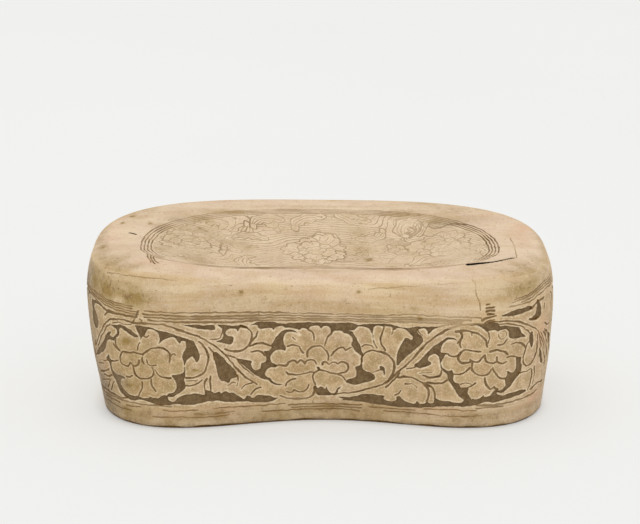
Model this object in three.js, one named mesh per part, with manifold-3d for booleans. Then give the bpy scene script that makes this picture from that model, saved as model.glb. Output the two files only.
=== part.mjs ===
// Bean-shaped stoneware pillow, built as slab-made clay pieces under a carved layer of slip.
// Millimetres, +Z up, front of the pillow toward -Y, base resting on z = 0.
import * as THREE from 'three';
import Module from 'manifold-3d';

const wasm = await Module();
wasm.setup();

// Outline of the base, seen from above: two superellipse halves, the front half pushed in.
const HALF_WIDTH = 142;
const FRONT_DEPTH = 89;
const BACK_DEPTH = 93;
const FRONT_POWER = 2.8;
const BACK_POWER = 3.3;
const WAIST_DEPTH = 34.5;
const WAIST_REACH = 132;

// Profile of the wall: how far it stands out past the base at its widest and at the rim.
const BELLY_OUT = 8.1;
const BELLY_HEIGHT = 78;
const RIM_OUT = 4.8;
const BASE_LEAN = 2;

// Height of the rim where wall and headrest meet.
const RIM_HEIGHT = 98.3;
const RIM_SLOPE = 0.045;
const RIM_RISE = 0.0008;
const RIM_TILT = -0.0091;
const RIM_DIP = 9.3;
const DIP_END_Y = 45;
const DIP_RUN = 105;

// Headrest: rolled edge, then a shallow dish for the head.
const ROLL_WIDTH = 25;
const ROLL_FRONT = 5.6;
const ROLL_BACK = 2.2;
const ROLL_MIDDLE = 4.5;
const ROLL_END_Y = 30;
const ROLL_RUN = 90;
const DISH_DEPTH = 10;
const DISH_CENTRE_Y = 12;
const DISH_STEEP = 0.55;
const DISH_GENTLE = 0.8;
const DISH_STEEP_Y = -70;
const DISH_STEEP_RUN = 80;

// Clay thicknesses.
const WALL = 8;
const BASE = 8;
const HEADREST = 9;
const HEADREST_LIP = 2.5;

// Slip layer, and the clearance between pieces whose faces are curved.
const SLIP = 0.8;
const GAP = 0.3;
const CLAY_INSET = SLIP + GAP;
const COIL = 8;

// Carved frieze and its edges.
const FRIEZE_TOP_FRONT = 68.5;
const FRIEZE_TOP_CORNER = 74;
const FRIEZE_TOP_BACK = 84;
const FRIEZE_DIP = 4;
const FRIEZE_BOTTOM = 14;
const SLIP_FOOT = 1;
const PEONY_RADIUS = 21.5;
const PEONY_SCALLOP = 3.5;
const PEONY_PETALS = 9;
const STEM_HALF = 2.2;
const LEAF_HALF = 6.5;
const BAY_SHIFT = -4;

// Vent that lets steam out of the hollow body in the kiln.
const VENT_RADIUS = 4;
const VENT_HEIGHT = 89.5;
const VENT_SLIP_CLEAR = 1;
const VENT_PAST = 20;
const VENT_SIDES = 24;

// Fineness of the facets: steps in a quarter turn, and the step where the corner seams fall.
const QUARTER = 20;
const STEPS = 4 * QUARTER;
const SEAM_STEP = 13;

const clamp01 = (v) => Math.min(1, Math.max(0, v));
const smooth = (v) => { const q = clamp01(v); return q * q * (3 - 2 * q); };
const mix = (a, b, k) => a + (b - a) * k;
const waist = (x) => (Math.abs(x) < WAIST_REACH ? 0.5 + 0.5 * Math.cos(Math.PI * x / WAIST_REACH) : 0);

// Share of the half width reached after a share of a quarter turn, evened out along the edge.
const EVEN = (() => {
  const n = 2000;
  const across = [];
  const length = [0];
  for (let i = 0; i <= n; i += 1) {
    across.push(Math.sin(Math.PI / 2 * i / n) ** (2 / 3.1));
  }
  const rise = (v) => (1 - v ** 3.1) ** (1 / 3.1);
  for (let i = 1; i <= n; i += 1) {
    const dx = (across[i] - across[i - 1]) * HALF_WIDTH;
    const dy = (rise(across[i]) - rise(across[i - 1])) * FRONT_DEPTH;
    length.push(length[i - 1] + Math.hypot(dx, dy));
  }
  return { across, length, total: length[n], n };
})();

function shareAcross(turn) {
  const want = clamp01(turn) * EVEN.total;
  let lo = 0;
  let hi = EVEN.n;
  while (hi - lo > 1) {
    const mid = (lo + hi) >> 1;
    if (EVEN.length[mid] <= want) lo = mid; else hi = mid;
  }
  const span = EVEN.length[hi] - EVEN.length[lo];
  const k = span > 0 ? (want - EVEN.length[lo]) / span : 0;
  return mix(EVEN.across[lo], EVEN.across[hi], clamp01(k));
}

// Point of the outline grown by g; turn runs 0..4 from the middle of the front, anticlockwise.
function outline(turn, g) {
  const t = ((turn % 4) + 4) % 4;
  const front = t <= 1 || t >= 3;
  const right = t <= 2;
  const quarter = t <= 1 ? t : t <= 2 ? 2 - t : t <= 3 ? t - 2 : 4 - t;
  const share = quarter >= 1 ? 1 : shareAcross(quarter);
  const x = (HALF_WIDTH + g) * share * (right ? 1 : -1);
  const power = front ? FRONT_POWER : BACK_POWER;
  const fall = Math.max(0, 1 - share ** power) ** (1 / power);
  const y = front ? -(FRONT_DEPTH + g) * fall + WAIST_DEPTH * waist(x) : (BACK_DEPTH + g) * fall;
  return [x, y];
}

function outward(turn, g) {
  const a = outline(turn - 0.02, g);
  const b = outline(turn + 0.02, g);
  const n = [b[1] - a[1], a[0] - b[0]];
  const l = Math.hypot(n[0], n[1]);
  return [n[0] / l, n[1] / l];
}

// The whole part is shifted so that its bounding box is centred on the origin.
const SHIFT_Y = (() => {
  let lo = 1e9;
  let hi = -1e9;
  for (let i = 0; i < STEPS; i += 1) {
    const y = outline(4 * i / STEPS, BELLY_OUT)[1];
    lo = Math.min(lo, y);
    hi = Math.max(hi, y);
  }
  return -(lo + hi) / 2;
})();

function rimHeight(x, y) {
  const dip = RIM_DIP * waist(x) * smooth((DIP_END_Y - y) / DIP_RUN);
  return RIM_HEIGHT + RIM_SLOPE * y + RIM_RISE * y * y + RIM_TILT * x - dip;
}

const rimAt = (turn) => rimHeight(...outline(turn, RIM_OUT));

function flare(z, rim) {
  if (z <= BELLY_HEIGHT) return BELLY_OUT * Math.sin(Math.PI / 2 * Math.max(0, z) / BELLY_HEIGHT);
  const k = clamp01((z - BELLY_HEIGHT) / (rim - BELLY_HEIGHT));
  return BELLY_OUT - (BELLY_OUT - RIM_OUT) * k * k;
}

// Point at a depth behind the finished outer face of the wall.
function wallPoint(turn, z, depth) {
  const g = flare(z, rimAt(turn));
  const p = outline(turn, g);
  const n = outward(turn, g);
  const lean = BASE_LEAN * clamp01(1 - z / BELLY_HEIGHT);
  return [p[0] - n[0] * depth + lean, p[1] - n[1] * depth + SHIFT_Y, z];
}

// Ring of the headrest: inset from the rim, or past ROLL_WIDTH a share of the way to the centre.
function headrestPoint(turn, inset, share, below) {
  const p = outline(turn, RIM_OUT);
  const n = outward(turn, RIM_OUT);
  const x0 = p[0] - n[0] * inset;
  const y0 = p[1] - n[1] * inset;
  const x = mix(x0, 0, share);
  const y = mix(y0, DISH_CENTRE_Y, share);
  const edge = ROLL_BACK + (ROLL_FRONT - ROLL_BACK) * smooth((ROLL_END_Y - p[1]) / ROLL_RUN);
  const rolled = 1 - (1 - clamp01(inset / ROLL_WIDTH)) ** 2;
  const lift = mix(edge, ROLL_MIDDLE, smooth(share)) * rolled;
  const reach = mix(DISH_STEEP, DISH_GENTLE, smooth((p[1] - DISH_STEEP_Y) / DISH_STEEP_RUN));
  return [x, y + SHIFT_Y, rimHeight(x, y) + lift - DISH_DEPTH * smooth(share / reach) - below];
}

// Height of the top edge of the carved ground at a place around the wall.
function friezeTop(turn) {
  const x = outline(turn, RIM_OUT)[0];
  const t = ((turn % 4) + 4) % 4;
  const away = Math.min(t, 4 - t) * QUARTER;
  if (away < SEAM_STEP) return FRIEZE_TOP_FRONT - FRIEZE_DIP * waist(x);
  return mix(FRIEZE_TOP_CORNER, FRIEZE_TOP_BACK, (away - SEAM_STEP) / (2 * QUARTER - SEAM_STEP));
}

// Closed bodies from rows of points. Triangles are turned to face out by their signed volume.
function bodyFrom(points, tris) {
  let six = 0;
  for (const [a, b, c] of tris) {
    const [p, q, r] = [points[a], points[b], points[c]];
    six += p[0] * (q[1] * r[2] - q[2] * r[1]) + p[1] * (q[2] * r[0] - q[0] * r[2])
      + p[2] * (q[0] * r[1] - q[1] * r[0]);
  }
  const geometry = new THREE.BufferGeometry();
  geometry.setAttribute('position', new THREE.Float32BufferAttribute(points.flat(), 3));
  geometry.setIndex(tris.flatMap(([a, b, c]) => (six > 0 ? [a, b, c] : [a, c, b])));
  geometry.computeVertexNormals();
  return geometry;
}

function sweep(sections, closed) {
  const k = sections[0].length;
  const points = sections.flat();
  const tris = [];
  const quad = (a, b, c, d) => tris.push([a, b, c], [a, c, d]);
  const n = sections.length;
  for (let i = 0; i < (closed ? n : n - 1); i += 1) {
    const u = i * k;
    const v = ((i + 1) % n) * k;
    for (let j = 0; j < k; j += 1) {
      const m = (j + 1) % k;
      quad(u + j, u + m, v + m, v + j);
    }
  }
  if (!closed) {
    for (const [base, flip] of [[0, true], [(n - 1) * k, false]]) {
      for (let j = 0; j < k / 2 - 1; j += 1) {
        const [a, b, c, d] = [base + j, base + j + 1, base + k - 2 - j, base + k - 1 - j];
        if (flip) quad(d, c, b, a); else quad(a, b, c, d);
      }
    }
  }
  return bodyFrom(points, tris);
}

function plate(topRings, topCentre, lowRings, lowCentre) {
  const n = topRings[0].length;
  const points = [...topRings.flat(), topCentre, ...lowRings.flat(), lowCentre];
  const tris = [];
  const side = (start, rings, flip) => {
    const put = (a, b, c) => tris.push(flip ? [a, c, b] : [a, b, c]);
    for (let r = 0; r < rings; r += 1) {
      for (let i = 0; i < n; i += 1) {
        const m = (i + 1) % n;
        const a = start + r * n + i;
        const b = start + r * n + m;
        if (r === rings - 1) put(a, b, start + rings * n);
        else {
          put(a, b, b + n);
          put(a, b + n, a + n);
        }
      }
    }
  };
  side(0, topRings.length, false);
  const low = topRings.length * n + 1;
  side(low, lowRings.length, true);
  for (let i = 0; i < n; i += 1) {
    const m = (i + 1) % n;
    tris.push([i, low + i, low + m], [i, low + m, m]);
  }
  return bodyFrom(points, tris);
}

function toManifold(geometry) {
  return new wasm.Manifold(new wasm.Mesh({
    numProp: 3,
    vertProperties: new Float32Array(geometry.getAttribute('position').array),
    triVerts: new Uint32Array(geometry.getIndex().array),
  }));
}

function cut(geometry, tool) {
  const mesh = toManifold(geometry).subtract(toManifold(tool)).getMesh();
  const out = new THREE.BufferGeometry();
  out.setAttribute('position', new THREE.BufferAttribute(mesh.vertProperties, 3));
  out.setIndex(new THREE.BufferAttribute(mesh.triVerts, 1));
  out.computeVertexNormals();
  return out;
}

const around = Array.from({ length: STEPS }, (_, i) => 4 * i / STEPS);

// Base slab, whose edge follows the foot of the wall.
function baseSlab() {
  const ring = (z, share) => around.map((t) => {
    const p = wallPoint(t, z, CLAY_INSET);
    return [mix(p[0], BASE_LEAN, share), mix(p[1], DISH_CENTRE_Y + SHIFT_Y, share), z];
  });
  const middle = (z) => [BASE_LEAN, DISH_CENTRE_Y + SHIFT_Y, z];
  return plate([ring(BASE, 0), ring(BASE, 0.5)], middle(BASE), [ring(0, 0), ring(0, 0.5)], middle(0));
}

// Height of the underside of the headrest over the wall, a small clearance above the wall top.
const HEADREST_RINGS = [
  [CLAY_INSET, 0], [CLAY_INSET + WALL, 0], [CLAY_INSET + WALL + COIL, 0], [ROLL_WIDTH, 0],
  [ROLL_WIDTH, 0.12], [ROLL_WIDTH, 0.25], [ROLL_WIDTH, 0.4], [ROLL_WIDTH, 0.65],
];

function headrestUnder(turn, inset, share) {
  const thick = mix(HEADREST_LIP, HEADREST, clamp01((inset - CLAY_INSET) / WALL));
  return headrestPoint(turn, inset, share, CLAY_INSET + thick);
}

function headrestSlab() {
  const top = HEADREST_RINGS.map(([d, s]) => around.map((t) => headrestPoint(t, d, s, CLAY_INSET)));
  const low = HEADREST_RINGS.map(([d, s]) => around.map((t) => headrestUnder(t, d, s)));
  return plate(top, headrestPoint(0, ROLL_WIDTH, 1, CLAY_INSET), low, headrestUnder(0, ROLL_WIDTH, 1));
}

// Wall section: up the outer face, then down the inner face. The last row but one lies a coil's
// height below the top, so that the luting coil follows the same facets.
const WALL_SHARES = [0, 0.25, 0.5, 0.75, 1];

function wallFace(turn, depth) {
  const top = headrestUnder(turn, depth, 0);
  const last = top[2] - GAP - COIL;
  return [
    ...WALL_SHARES.map((k) => wallPoint(turn, mix(BASE, last, k), depth)),
    [top[0], top[1], top[2] - GAP],
  ];
}

const wallSection = (turn) => [
  ...wallFace(turn, CLAY_INSET), ...wallFace(turn, CLAY_INSET + WALL).reverse(),
];

// A seam is opened by half a clearance on each side, measured along the wall.
const SEAM_TURN = SEAM_STEP / QUARTER;
const seamGap = (() => {
  const a = outline(SEAM_TURN - 0.01, RIM_OUT);
  const b = outline(SEAM_TURN + 0.01, RIM_OUT);
  return 0.02 * 0.5 * GAP / Math.hypot(b[0] - a[0], b[1] - a[1]);
})();

function frontWall() {
  const turns = [];
  for (let i = -SEAM_STEP; i <= SEAM_STEP; i += 1) turns.push(i / QUARTER);
  turns[0] += seamGap;
  turns[turns.length - 1] -= seamGap;
  return sweep(turns.map(wallSection), false);
}

const BACK_Y = BACK_DEPTH + BELLY_OUT + SHIFT_Y;

function ventTool(radius) {
  const ring = (y) => Array.from({ length: VENT_SIDES }, (_, i) => {
    const a = 2 * Math.PI * i / VENT_SIDES;
    return [radius * Math.cos(a), y, VENT_HEIGHT + radius * Math.sin(a)];
  });
  const from = BACK_Y - CLAY_INSET - WALL - VENT_PAST;
  const to = BACK_Y + VENT_PAST;
  return plate([ring(from)], [0, from, VENT_HEIGHT], [ring(to)], [0, to, VENT_HEIGHT]);
}

function backWall() {
  const turns = [];
  for (let i = SEAM_STEP; i <= STEPS - SEAM_STEP; i += 1) turns.push(i / QUARTER);
  turns[0] += seamGap;
  turns[turns.length - 1] -= seamGap;
  return cut(sweep(turns.map(wallSection), false), ventTool(VENT_RADIUS));
}

// Fillets of clay pressed into the inner corners.
function baseCoil() {
  return sweep(around.map((t) => [
    wallPoint(t, BASE, CLAY_INSET + WALL + GAP),
    wallPoint(t, BASE, CLAY_INSET + WALL + COIL),
    wallPoint(t, BASE + COIL, CLAY_INSET + WALL + GAP),
  ]), true);
}

function headrestCoil() {
  return sweep(around.map((t) => {
    const near = headrestUnder(t, CLAY_INSET + WALL, 0);
    const far = headrestUnder(t, CLAY_INSET + WALL + COIL, 0);
    const k = GAP / COIL;
    const low = wallPoint(t, near[2] - GAP - COIL, CLAY_INSET + WALL + GAP);
    return [
      [mix(near[0], far[0], k), mix(near[1], far[1], k), mix(near[2], far[2], k) - GAP],
      [far[0], far[1], far[2] - GAP],
      low,
    ];
  }), true);
}

function seamCoil(side) {
  const turn = side * SEAM_TURN;
  const last = headrestUnder(turn, CLAY_INSET + WALL, 0)[2] - GAP - COIL;
  const first = BASE + COIL + GAP;
  const rows = [first, ...WALL_SHARES.slice(1, -1).map((k) => mix(BASE, last, k)), last - 2 * GAP];
  const wide = 1 / QUARTER;
  return sweep(rows.map((z) => [
    wallPoint(turn - wide, z, CLAY_INSET + WALL + GAP),
    wallPoint(turn, z, CLAY_INSET + WALL + GAP),
    wallPoint(turn + wide, z, CLAY_INSET + WALL + GAP),
    wallPoint(turn + wide / 2, z, CLAY_INSET + WALL + COIL - 1),
    wallPoint(turn, z, CLAY_INSET + WALL + COIL),
    wallPoint(turn - wide / 2, z, CLAY_INSET + WALL + COIL - 1),
  ]), false);
}

// Slip left on the headrest, the shoulder and the foot.
const SKIN_RINGS = HEADREST_RINGS.map(([d, s], i) => (i === 0 ? [GAP, 0] : [d, s]));

function headrestSlip() {
  const layer = (below) => SKIN_RINGS.map(([d, s]) => around.map((t) => headrestPoint(t, d, s, below)));
  return plate(layer(0), headrestPoint(0, ROLL_WIDTH, 1, 0), layer(SLIP),
    headrestPoint(0, ROLL_WIDTH, 1, SLIP));
}

function slipBand(rowsAt) {
  return sweep(around.map((t) => {
    const heights = rowsAt(t);
    const outer = heights.map((z) => wallPoint(t, z, 0));
    const inner = heights.map((z) => wallPoint(t, z, SLIP));
    return [...outer, ...inner.reverse()];
  }), true);
}

function shoulderSlip() {
  const band = slipBand((t) => [
    friezeTop(t),
    headrestUnder(t, CLAY_INSET, 0)[2] - GAP - COIL,
    rimAt(t) - SLIP - GAP,
  ]);
  return cut(band, ventTool(VENT_RADIUS + VENT_SLIP_CLEAR));
}

const footTop = (t) => FRIEZE_BOTTOM - 2 * waist(outline(t, 0)[0]);
const footSlip = () => slipBand((t) => [SLIP_FOOT, BASE, footTop(t)]);

// Places around the wall are given as arc length from the middle of the front.
const ARC = (() => {
  const n = 1600;
  const length = [0];
  for (let i = 1; i <= n; i += 1) {
    const a = outline(4 * (i - 1) / n, RIM_OUT);
    const b = outline(4 * i / n, RIM_OUT);
    length.push(length[i - 1] + Math.hypot(b[0] - a[0], b[1] - a[1]));
  }
  return { n, length, total: length[n] };
})();

function turnAt(arc) {
  const want = ((arc % ARC.total) + ARC.total) % ARC.total;
  let lo = 0;
  let hi = ARC.n;
  while (hi - lo > 1) {
    const mid = (lo + hi) >> 1;
    if (ARC.length[mid] <= want) lo = mid; else hi = mid;
  }
  return 4 * (lo + (want - ARC.length[lo]) / (ARC.length[hi] - ARC.length[lo])) / ARC.n;
}

// Eight bays: three seen from the front, the rest spaced evenly round the ends and back.
const SEAM_ARC = ARC.length[Math.round(SEAM_TURN / 4 * ARC.n)];
const FRONT_BAYS = [BAY_SHIFT - SEAM_ARC, BAY_SHIFT, BAY_SHIFT + SEAM_ARC];
const BAYS = (() => {
  const list = FRONT_BAYS.map((arc) => ({ arc, name: '' }));
  const run = ARC.total - FRONT_BAYS[2] + FRONT_BAYS[0];
  for (let i = 1; i < 6; i += 1) list.push({ arc: FRONT_BAYS[2] + run * i / 6, name: '' });
  const names = ['front_left', 'front_middle', 'front_right', 'end_right', 'back_right',
    'back_middle', 'back_left', 'end_left'];
  return list.map((bay, i) => ({ arc: bay.arc, name: names[i] }));
})();

const friezeMiddle = (arc) => (FRIEZE_BOTTOM + friezeTop(turnAt(arc))) / 2;

function peony(arc) {
  const middle = friezeMiddle(arc);
  const tall = (friezeTop(turnAt(arc)) - FRIEZE_BOTTOM - 4) / 2 / (PEONY_RADIUS + PEONY_SCALLOP);
  const spokes = PEONY_PETALS * 4;
  const ring = (k, depth) => Array.from({ length: spokes }, (_, i) => {
    const a = 2 * Math.PI * i / spokes;
    const r = (PEONY_RADIUS + PEONY_SCALLOP * Math.abs(Math.sin(PEONY_PETALS * a / 2))) * k;
    return wallPoint(turnAt(arc + r * Math.cos(a)), middle + tall * r * Math.sin(a), depth);
  });
  const centre = (depth) => wallPoint(turnAt(arc), middle, depth);
  return plate([ring(1, 0), ring(0.66, 0), ring(0.33, 0)], centre(0),
    [ring(1, SLIP), ring(0.66, SLIP), ring(0.33, SLIP)], centre(SLIP));
}

// Stem and leaf: springs from above one peony and runs down to the foot of the next.
function spray(arc, next) {
  const span = next - arc;
  const steps = 16;
  const sections = [];
  for (let i = 0; i <= steps; i += 1) {
    const k = i / steps;
    const s = arc + span * mix(0.30, 0.70, k) + 3 * Math.sin(2 * Math.PI * k);
    const turn = turnAt(s);
    const z = mix(friezeTop(turn) - 4, FRIEZE_BOTTOM + 5, smooth(k));
    const half = STEM_HALF + (LEAF_HALF - STEM_HALF) * Math.sin(Math.PI * k) ** 2;
    const at = (side, depth) => wallPoint(turnAt(s + side * half), z + side * half * 0.35, depth);
    sections.push([at(-1, 0), at(0, 0), at(1, 0), at(1, SLIP), at(0, SLIP), at(-1, SLIP)]);
  }
  return sweep(sections, false);
}

const group = new THREE.Group();
group.name = 'ceramic_pillow';

function add(name, geometry, color) {
  const material = new THREE.MeshStandardMaterial({ color, roughness: 0.8, metalness: 0 });
  material.name = name;
  const mesh = new THREE.Mesh(geometry, material);
  mesh.name = name;
  group.add(mesh);
}

const CLAY = 0x7d6650;
const PALE = 0xc9ae86;

add('base_slab', baseSlab(), CLAY);
add('front_wall', frontWall(), CLAY);
add('back_wall', backWall(), CLAY);
add('headrest_slab', headrestSlab(), CLAY);
add('base_luting_coil', baseCoil(), CLAY);
add('headrest_luting_coil', headrestCoil(), CLAY);
add('seam_coil_left', seamCoil(-1), CLAY);
add('seam_coil_right', seamCoil(1), CLAY);
add('headrest_slip', headrestSlip(), PALE);
add('shoulder_slip_band', shoulderSlip(), PALE);
add('foot_slip_band', footSlip(), PALE);
const order = [...BAYS].sort((a, b) => a.arc - b.arc);
order.forEach((bay, i) => {
  const next = i + 1 < order.length ? order[i + 1].arc : order[0].arc + ARC.total;
  add(`peony_relief_${bay.name}`, peony(bay.arc), PALE);
  add(`leaf_relief_${bay.name}`, spray(bay.arc, next), PALE);
});

export default group;
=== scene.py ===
"""Bean-shaped stoneware pillow with a carved slip scroll, dressed around its CAD frame."""
import logging
import math
from dataclasses import dataclass, field
from enum import Enum
from typing import Any, Optional, Sequence

import bpy
import numpy as np
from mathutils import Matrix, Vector


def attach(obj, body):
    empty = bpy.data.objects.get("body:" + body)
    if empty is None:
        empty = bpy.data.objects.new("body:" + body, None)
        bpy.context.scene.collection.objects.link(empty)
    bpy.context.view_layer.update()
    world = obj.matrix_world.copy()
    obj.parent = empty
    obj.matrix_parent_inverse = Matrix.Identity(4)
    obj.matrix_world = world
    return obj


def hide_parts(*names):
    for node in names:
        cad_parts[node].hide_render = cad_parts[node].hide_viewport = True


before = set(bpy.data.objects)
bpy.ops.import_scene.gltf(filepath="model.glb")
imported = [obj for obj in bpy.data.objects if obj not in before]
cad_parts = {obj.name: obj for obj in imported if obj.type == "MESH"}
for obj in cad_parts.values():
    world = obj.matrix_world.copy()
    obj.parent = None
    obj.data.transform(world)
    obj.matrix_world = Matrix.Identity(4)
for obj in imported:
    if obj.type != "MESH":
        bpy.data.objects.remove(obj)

log = logging.getLogger("pillow")
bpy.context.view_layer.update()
MM = 0.001
FAR = 9.0  # mm, stands for nothing near
REACH = 3.0  # mm, how far from its line a cut is felt
ARRIS, ARRIS_REACH = 0.45, 2.0  # mm, how much the upper edge is rounded off, and how far in
FACING = 6.0  # mm, growth of the outline whose normal stands for the wall's
DRAWN_FOOT = 16.0  # mm, height that the frieze's drawn groups stand on
Array = np.ndarray
Spots = Sequence[tuple[float, float, float, float, float]]  # u, v, radius along u and v, strength


def smooth(v: Array) -> Array:
    """Cubic ease between 0 and 1.

    Args:
        v: values to ease; what lies outside 0..1 is clipped.

    Returns:
        The eased values, 3 v^2 - 2 v^3.
    """
    q = np.clip(v, 0.0, 1.0)
    return q * q * (3.0 - 2.0 * q)


def ripple(p: Array, seed: int, size: float, count: int = 9) -> Array:
    """Band-limited hand wobble: a seeded sum of plane waves sin(k.p + phase).

    Args:
        p: places in mm, the last axis x, y, z.
        seed: seed of the wave directions and phases.
        size: typical wavelength in mm.
        count: number of waves.

    Returns:
        Values of about -1..1, one for each place.
    """
    rng = np.random.default_rng(seed)
    total = np.zeros(p.shape[:-1])
    for _ in range(count):
        way = rng.normal(size=3)
        k = 2 * math.pi / (size * rng.uniform(0.6, 1.7)) / np.linalg.norm(way)
        total += np.sin(p @ (k * way) + rng.uniform(0, 2 * math.pi))
    return total * math.sqrt(2.0 / count) / 1.4


def arris(away: Array) -> Array:
    """Rounding of the upper edge, ARRIS (1 - away / ARRIS_REACH)^2 where away is small.

    Args:
        away: distance from the edge in mm.

    Returns:
        How far the surface draws back, in mm.
    """
    return ARRIS * np.clip(1 - away / ARRIS_REACH, 0, 1) ** 2


@dataclass(frozen=True)
class PillowForm:
    """Finished outer surface of the pillow in mm, the same form that the CAD source states.

    The outline is 2 half_width by front_depth + back_depth, with its own power in front and behind,
    and is pushed in by waist_depth over waist_reach. The wall grows out to belly_out at belly_height
    and back to rim_out. The rim is level + slope y + bow y^2 - tilt x, less rim_dip at the waist.
    The headrest rolls up by edge_rise, in front by front_rise more, goes on to centre_rise and is
    sunk by dish_depth.
    """

    half_width: float = 142.0
    front_depth: float = 89.0
    back_depth: float = 93.0
    front_power: float = 2.8
    back_power: float = 3.3
    waist_depth: float = 34.5
    waist_reach: float = 132.0
    belly_out: float = 8.1
    belly_height: float = 78.0
    rim_out: float = 4.8
    base_lean: float = 2.0
    roll_width: float = 25.0
    centre_y: float = 12.0
    rim_level: float = 98.3
    rim_slope: float = 0.045
    rim_bow: float = 0.0008
    rim_tilt: float = 0.0091
    rim_dip: float = 9.3
    edge_rise: float = 2.2
    front_rise: float = 3.4
    centre_rise: float = 4.5
    dish_depth: float = 10.0
    vent_height: float = 89.5
    vent_radius: float = 4.0

    def waist(self, x: Array) -> Array:
        """Share of the waist's push, a raised cosine 0.5 + 0.5 cos(pi x / reach).

        Args:
            x: places across in mm.

        Returns:
            Shares of 0..1, 0 beyond the reach.
        """
        wave = 0.5 + 0.5 * np.cos(np.pi * np.clip(x / self.waist_reach, -1, 1))
        return np.where(np.abs(x) < self.waist_reach, wave, 0.0)

    def share_across(self, turn: Array) -> Array:
        """Share of the half width at a share of a quarter turn, even in length along the edge.

        The edge is the superellipse |a|^n + |b|^n = 1 with n = 3.1, its length summed over chords.

        Args:
            turn: shares of a quarter turn, 0..1.

        Returns:
            Shares of the half width, 0..1.
        """
        n = 3.1
        steps = np.arange(2001) / 2000
        across = np.sin(np.pi / 2 * steps) ** (2 / n)
        rise = np.clip(1 - across ** n, 0, 1) ** (1 / n)
        run = np.hypot(np.diff(across) * self.half_width, np.diff(rise) * self.front_depth)
        length = np.concatenate([[0.0], np.cumsum(run)])
        return np.interp(np.clip(turn, 0, 1) * length[-1], length, across)

    def outline(self, turn: Array, grow: Array) -> tuple[Array, Array]:
        """Superellipse halves |x/a|^n + |y/b|^n = 1 grown by grow, the front pushed in at the waist.

        Args:
            turn: place round the edge, 0..4 from the middle of the front, anticlockwise.
            grow: growth of both half axes in mm.

        Returns:
            x and y in mm, before the shift that centres the box.
        """
        t = np.mod(turn, 4.0)
        front = (t <= 1) | (t >= 3)
        quarter = np.where(t <= 1, t, np.where(t <= 2, 2 - t, np.where(t <= 3, t - 2, 4 - t)))
        share = self.share_across(quarter)
        x = (self.half_width + grow) * share * np.where(t <= 2, 1.0, -1.0)
        power = np.where(front, self.front_power, self.back_power)
        fall = np.clip(1 - share ** power, 0, 1) ** (1 / power)
        ahead = -(self.front_depth + grow) * fall + self.waist_depth * self.waist(x)
        return x, np.where(front, ahead, (self.back_depth + grow) * fall)

    def outward(self, turn: Array, grow: Array) -> tuple[Array, Array]:
        """Unit normal of the outline, from a central difference along it.

        Args:
            turn: place round the edge.
            grow: growth of both half axes in mm.

        Returns:
            Its x and y.
        """
        ax, ay = self.outline(turn - 0.02, grow)
        bx, by = self.outline(turn + 0.02, grow)
        size = np.hypot(by - ay, ax - bx)
        return (by - ay) / size, (ax - bx) / size

    @property
    def shift_y(self) -> float:
        """Shift that centres the widest outline on y = 0."""
        y = self.outline(np.arange(80) / 20.0, self.belly_out)[1]
        return float(-(y.min() + y.max()) / 2)

    def rim_height(self, x: Array, y: Array) -> Array:
        """Height of the edge where wall and headrest meet, dipping at the front waist.

        Args:
            x: places across in mm.
            y: places along in mm, before the shift that centres the box.

        Returns:
            Heights in mm, a low parabola in y and a slope in x, less the dip.
        """
        dip = self.rim_dip * self.waist(x) * smooth((45 - y) / 105)
        return self.rim_level + self.rim_slope * y + self.rim_bow * y * y - self.rim_tilt * x - dip

    def rim(self, turn: Array) -> Array:
        """Rim height at a place round the wall."""
        return self.rim_height(*self.outline(turn, self.rim_out))

    def wall(self, turn: Array, z: Array, depth: Array) -> tuple[Array, Array, Array]:
        """Wall point: a quarter sine out to the belly, then a parabola in to the rim.

        Args:
            turn: place round the wall.
            z: height in mm.
            depth: how far behind the finished face, in mm.

        Returns:
            x, y, z in mm in the row frame.
        """
        rim = self.rim(turn)
        low = self.belly_out * np.sin(np.pi / 2 * np.clip(z, 0, None) / self.belly_height)
        k = np.clip((z - self.belly_height) / (rim - self.belly_height), 0, 1)
        high = self.belly_out - (self.belly_out - self.rim_out) * k * k
        grow = np.where(z <= self.belly_height, low, high)
        x, y = self.outline(turn, grow)
        nx, ny = self.outward(turn, grow)
        lean = self.base_lean * np.clip(1 - z / self.belly_height, 0, 1)
        return x - nx * depth + lean, y - ny * depth + self.shift_y, z + 0 * x

    def headrest(self, turn: Array, inset: Array, share: Array) -> tuple[Array, Array, Array]:
        """Headrest point: a rolled edge, then a dish that is steep in front and easy behind.

        Args:
            turn: place round the rim.
            inset: distance in from the rim, up to roll_width.
            share: share of the way from there to the centre.

        Returns:
            x, y, z in mm in the row frame.
        """
        px, py = self.outline(turn, self.rim_out)
        nx, ny = self.outward(turn, self.rim_out)
        x = (px - nx * inset) * (1 - share)
        y = (py - ny * inset) * (1 - share) + self.centre_y * share
        edge = self.edge_rise + self.front_rise * smooth((30 - py) / 90)
        rolled = 1 - (1 - np.clip(inset / self.roll_width, 0, 1)) ** 2
        lift = (edge + (self.centre_rise - edge) * smooth(share)) * rolled
        reach = 0.55 + 0.25 * smooth((py + 70) / 80)
        z = self.rim_height(x, y) + lift - self.dish_depth * smooth(share / reach)
        return x, y + self.shift_y, z

    def arc_table(self) -> tuple[Array, Array]:
        """Turns and arc lengths along the rim, for reading one from the other.

        Returns:
            Turns 0..4, and the lengths in mm from the first of them.
        """
        turn = np.linspace(0, 4, 3201)
        x, y = self.outline(turn, self.rim_out)
        return turn, np.concatenate([[0.0], np.cumsum(np.hypot(np.diff(x), np.diff(y)))])


FORM = PillowForm()


class Layer(Enum):
    """What a cut of the carver's tool leaves."""

    SLIP = "slip"
    GROUND = "ground"
    STROKE = "stroke"


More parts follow.
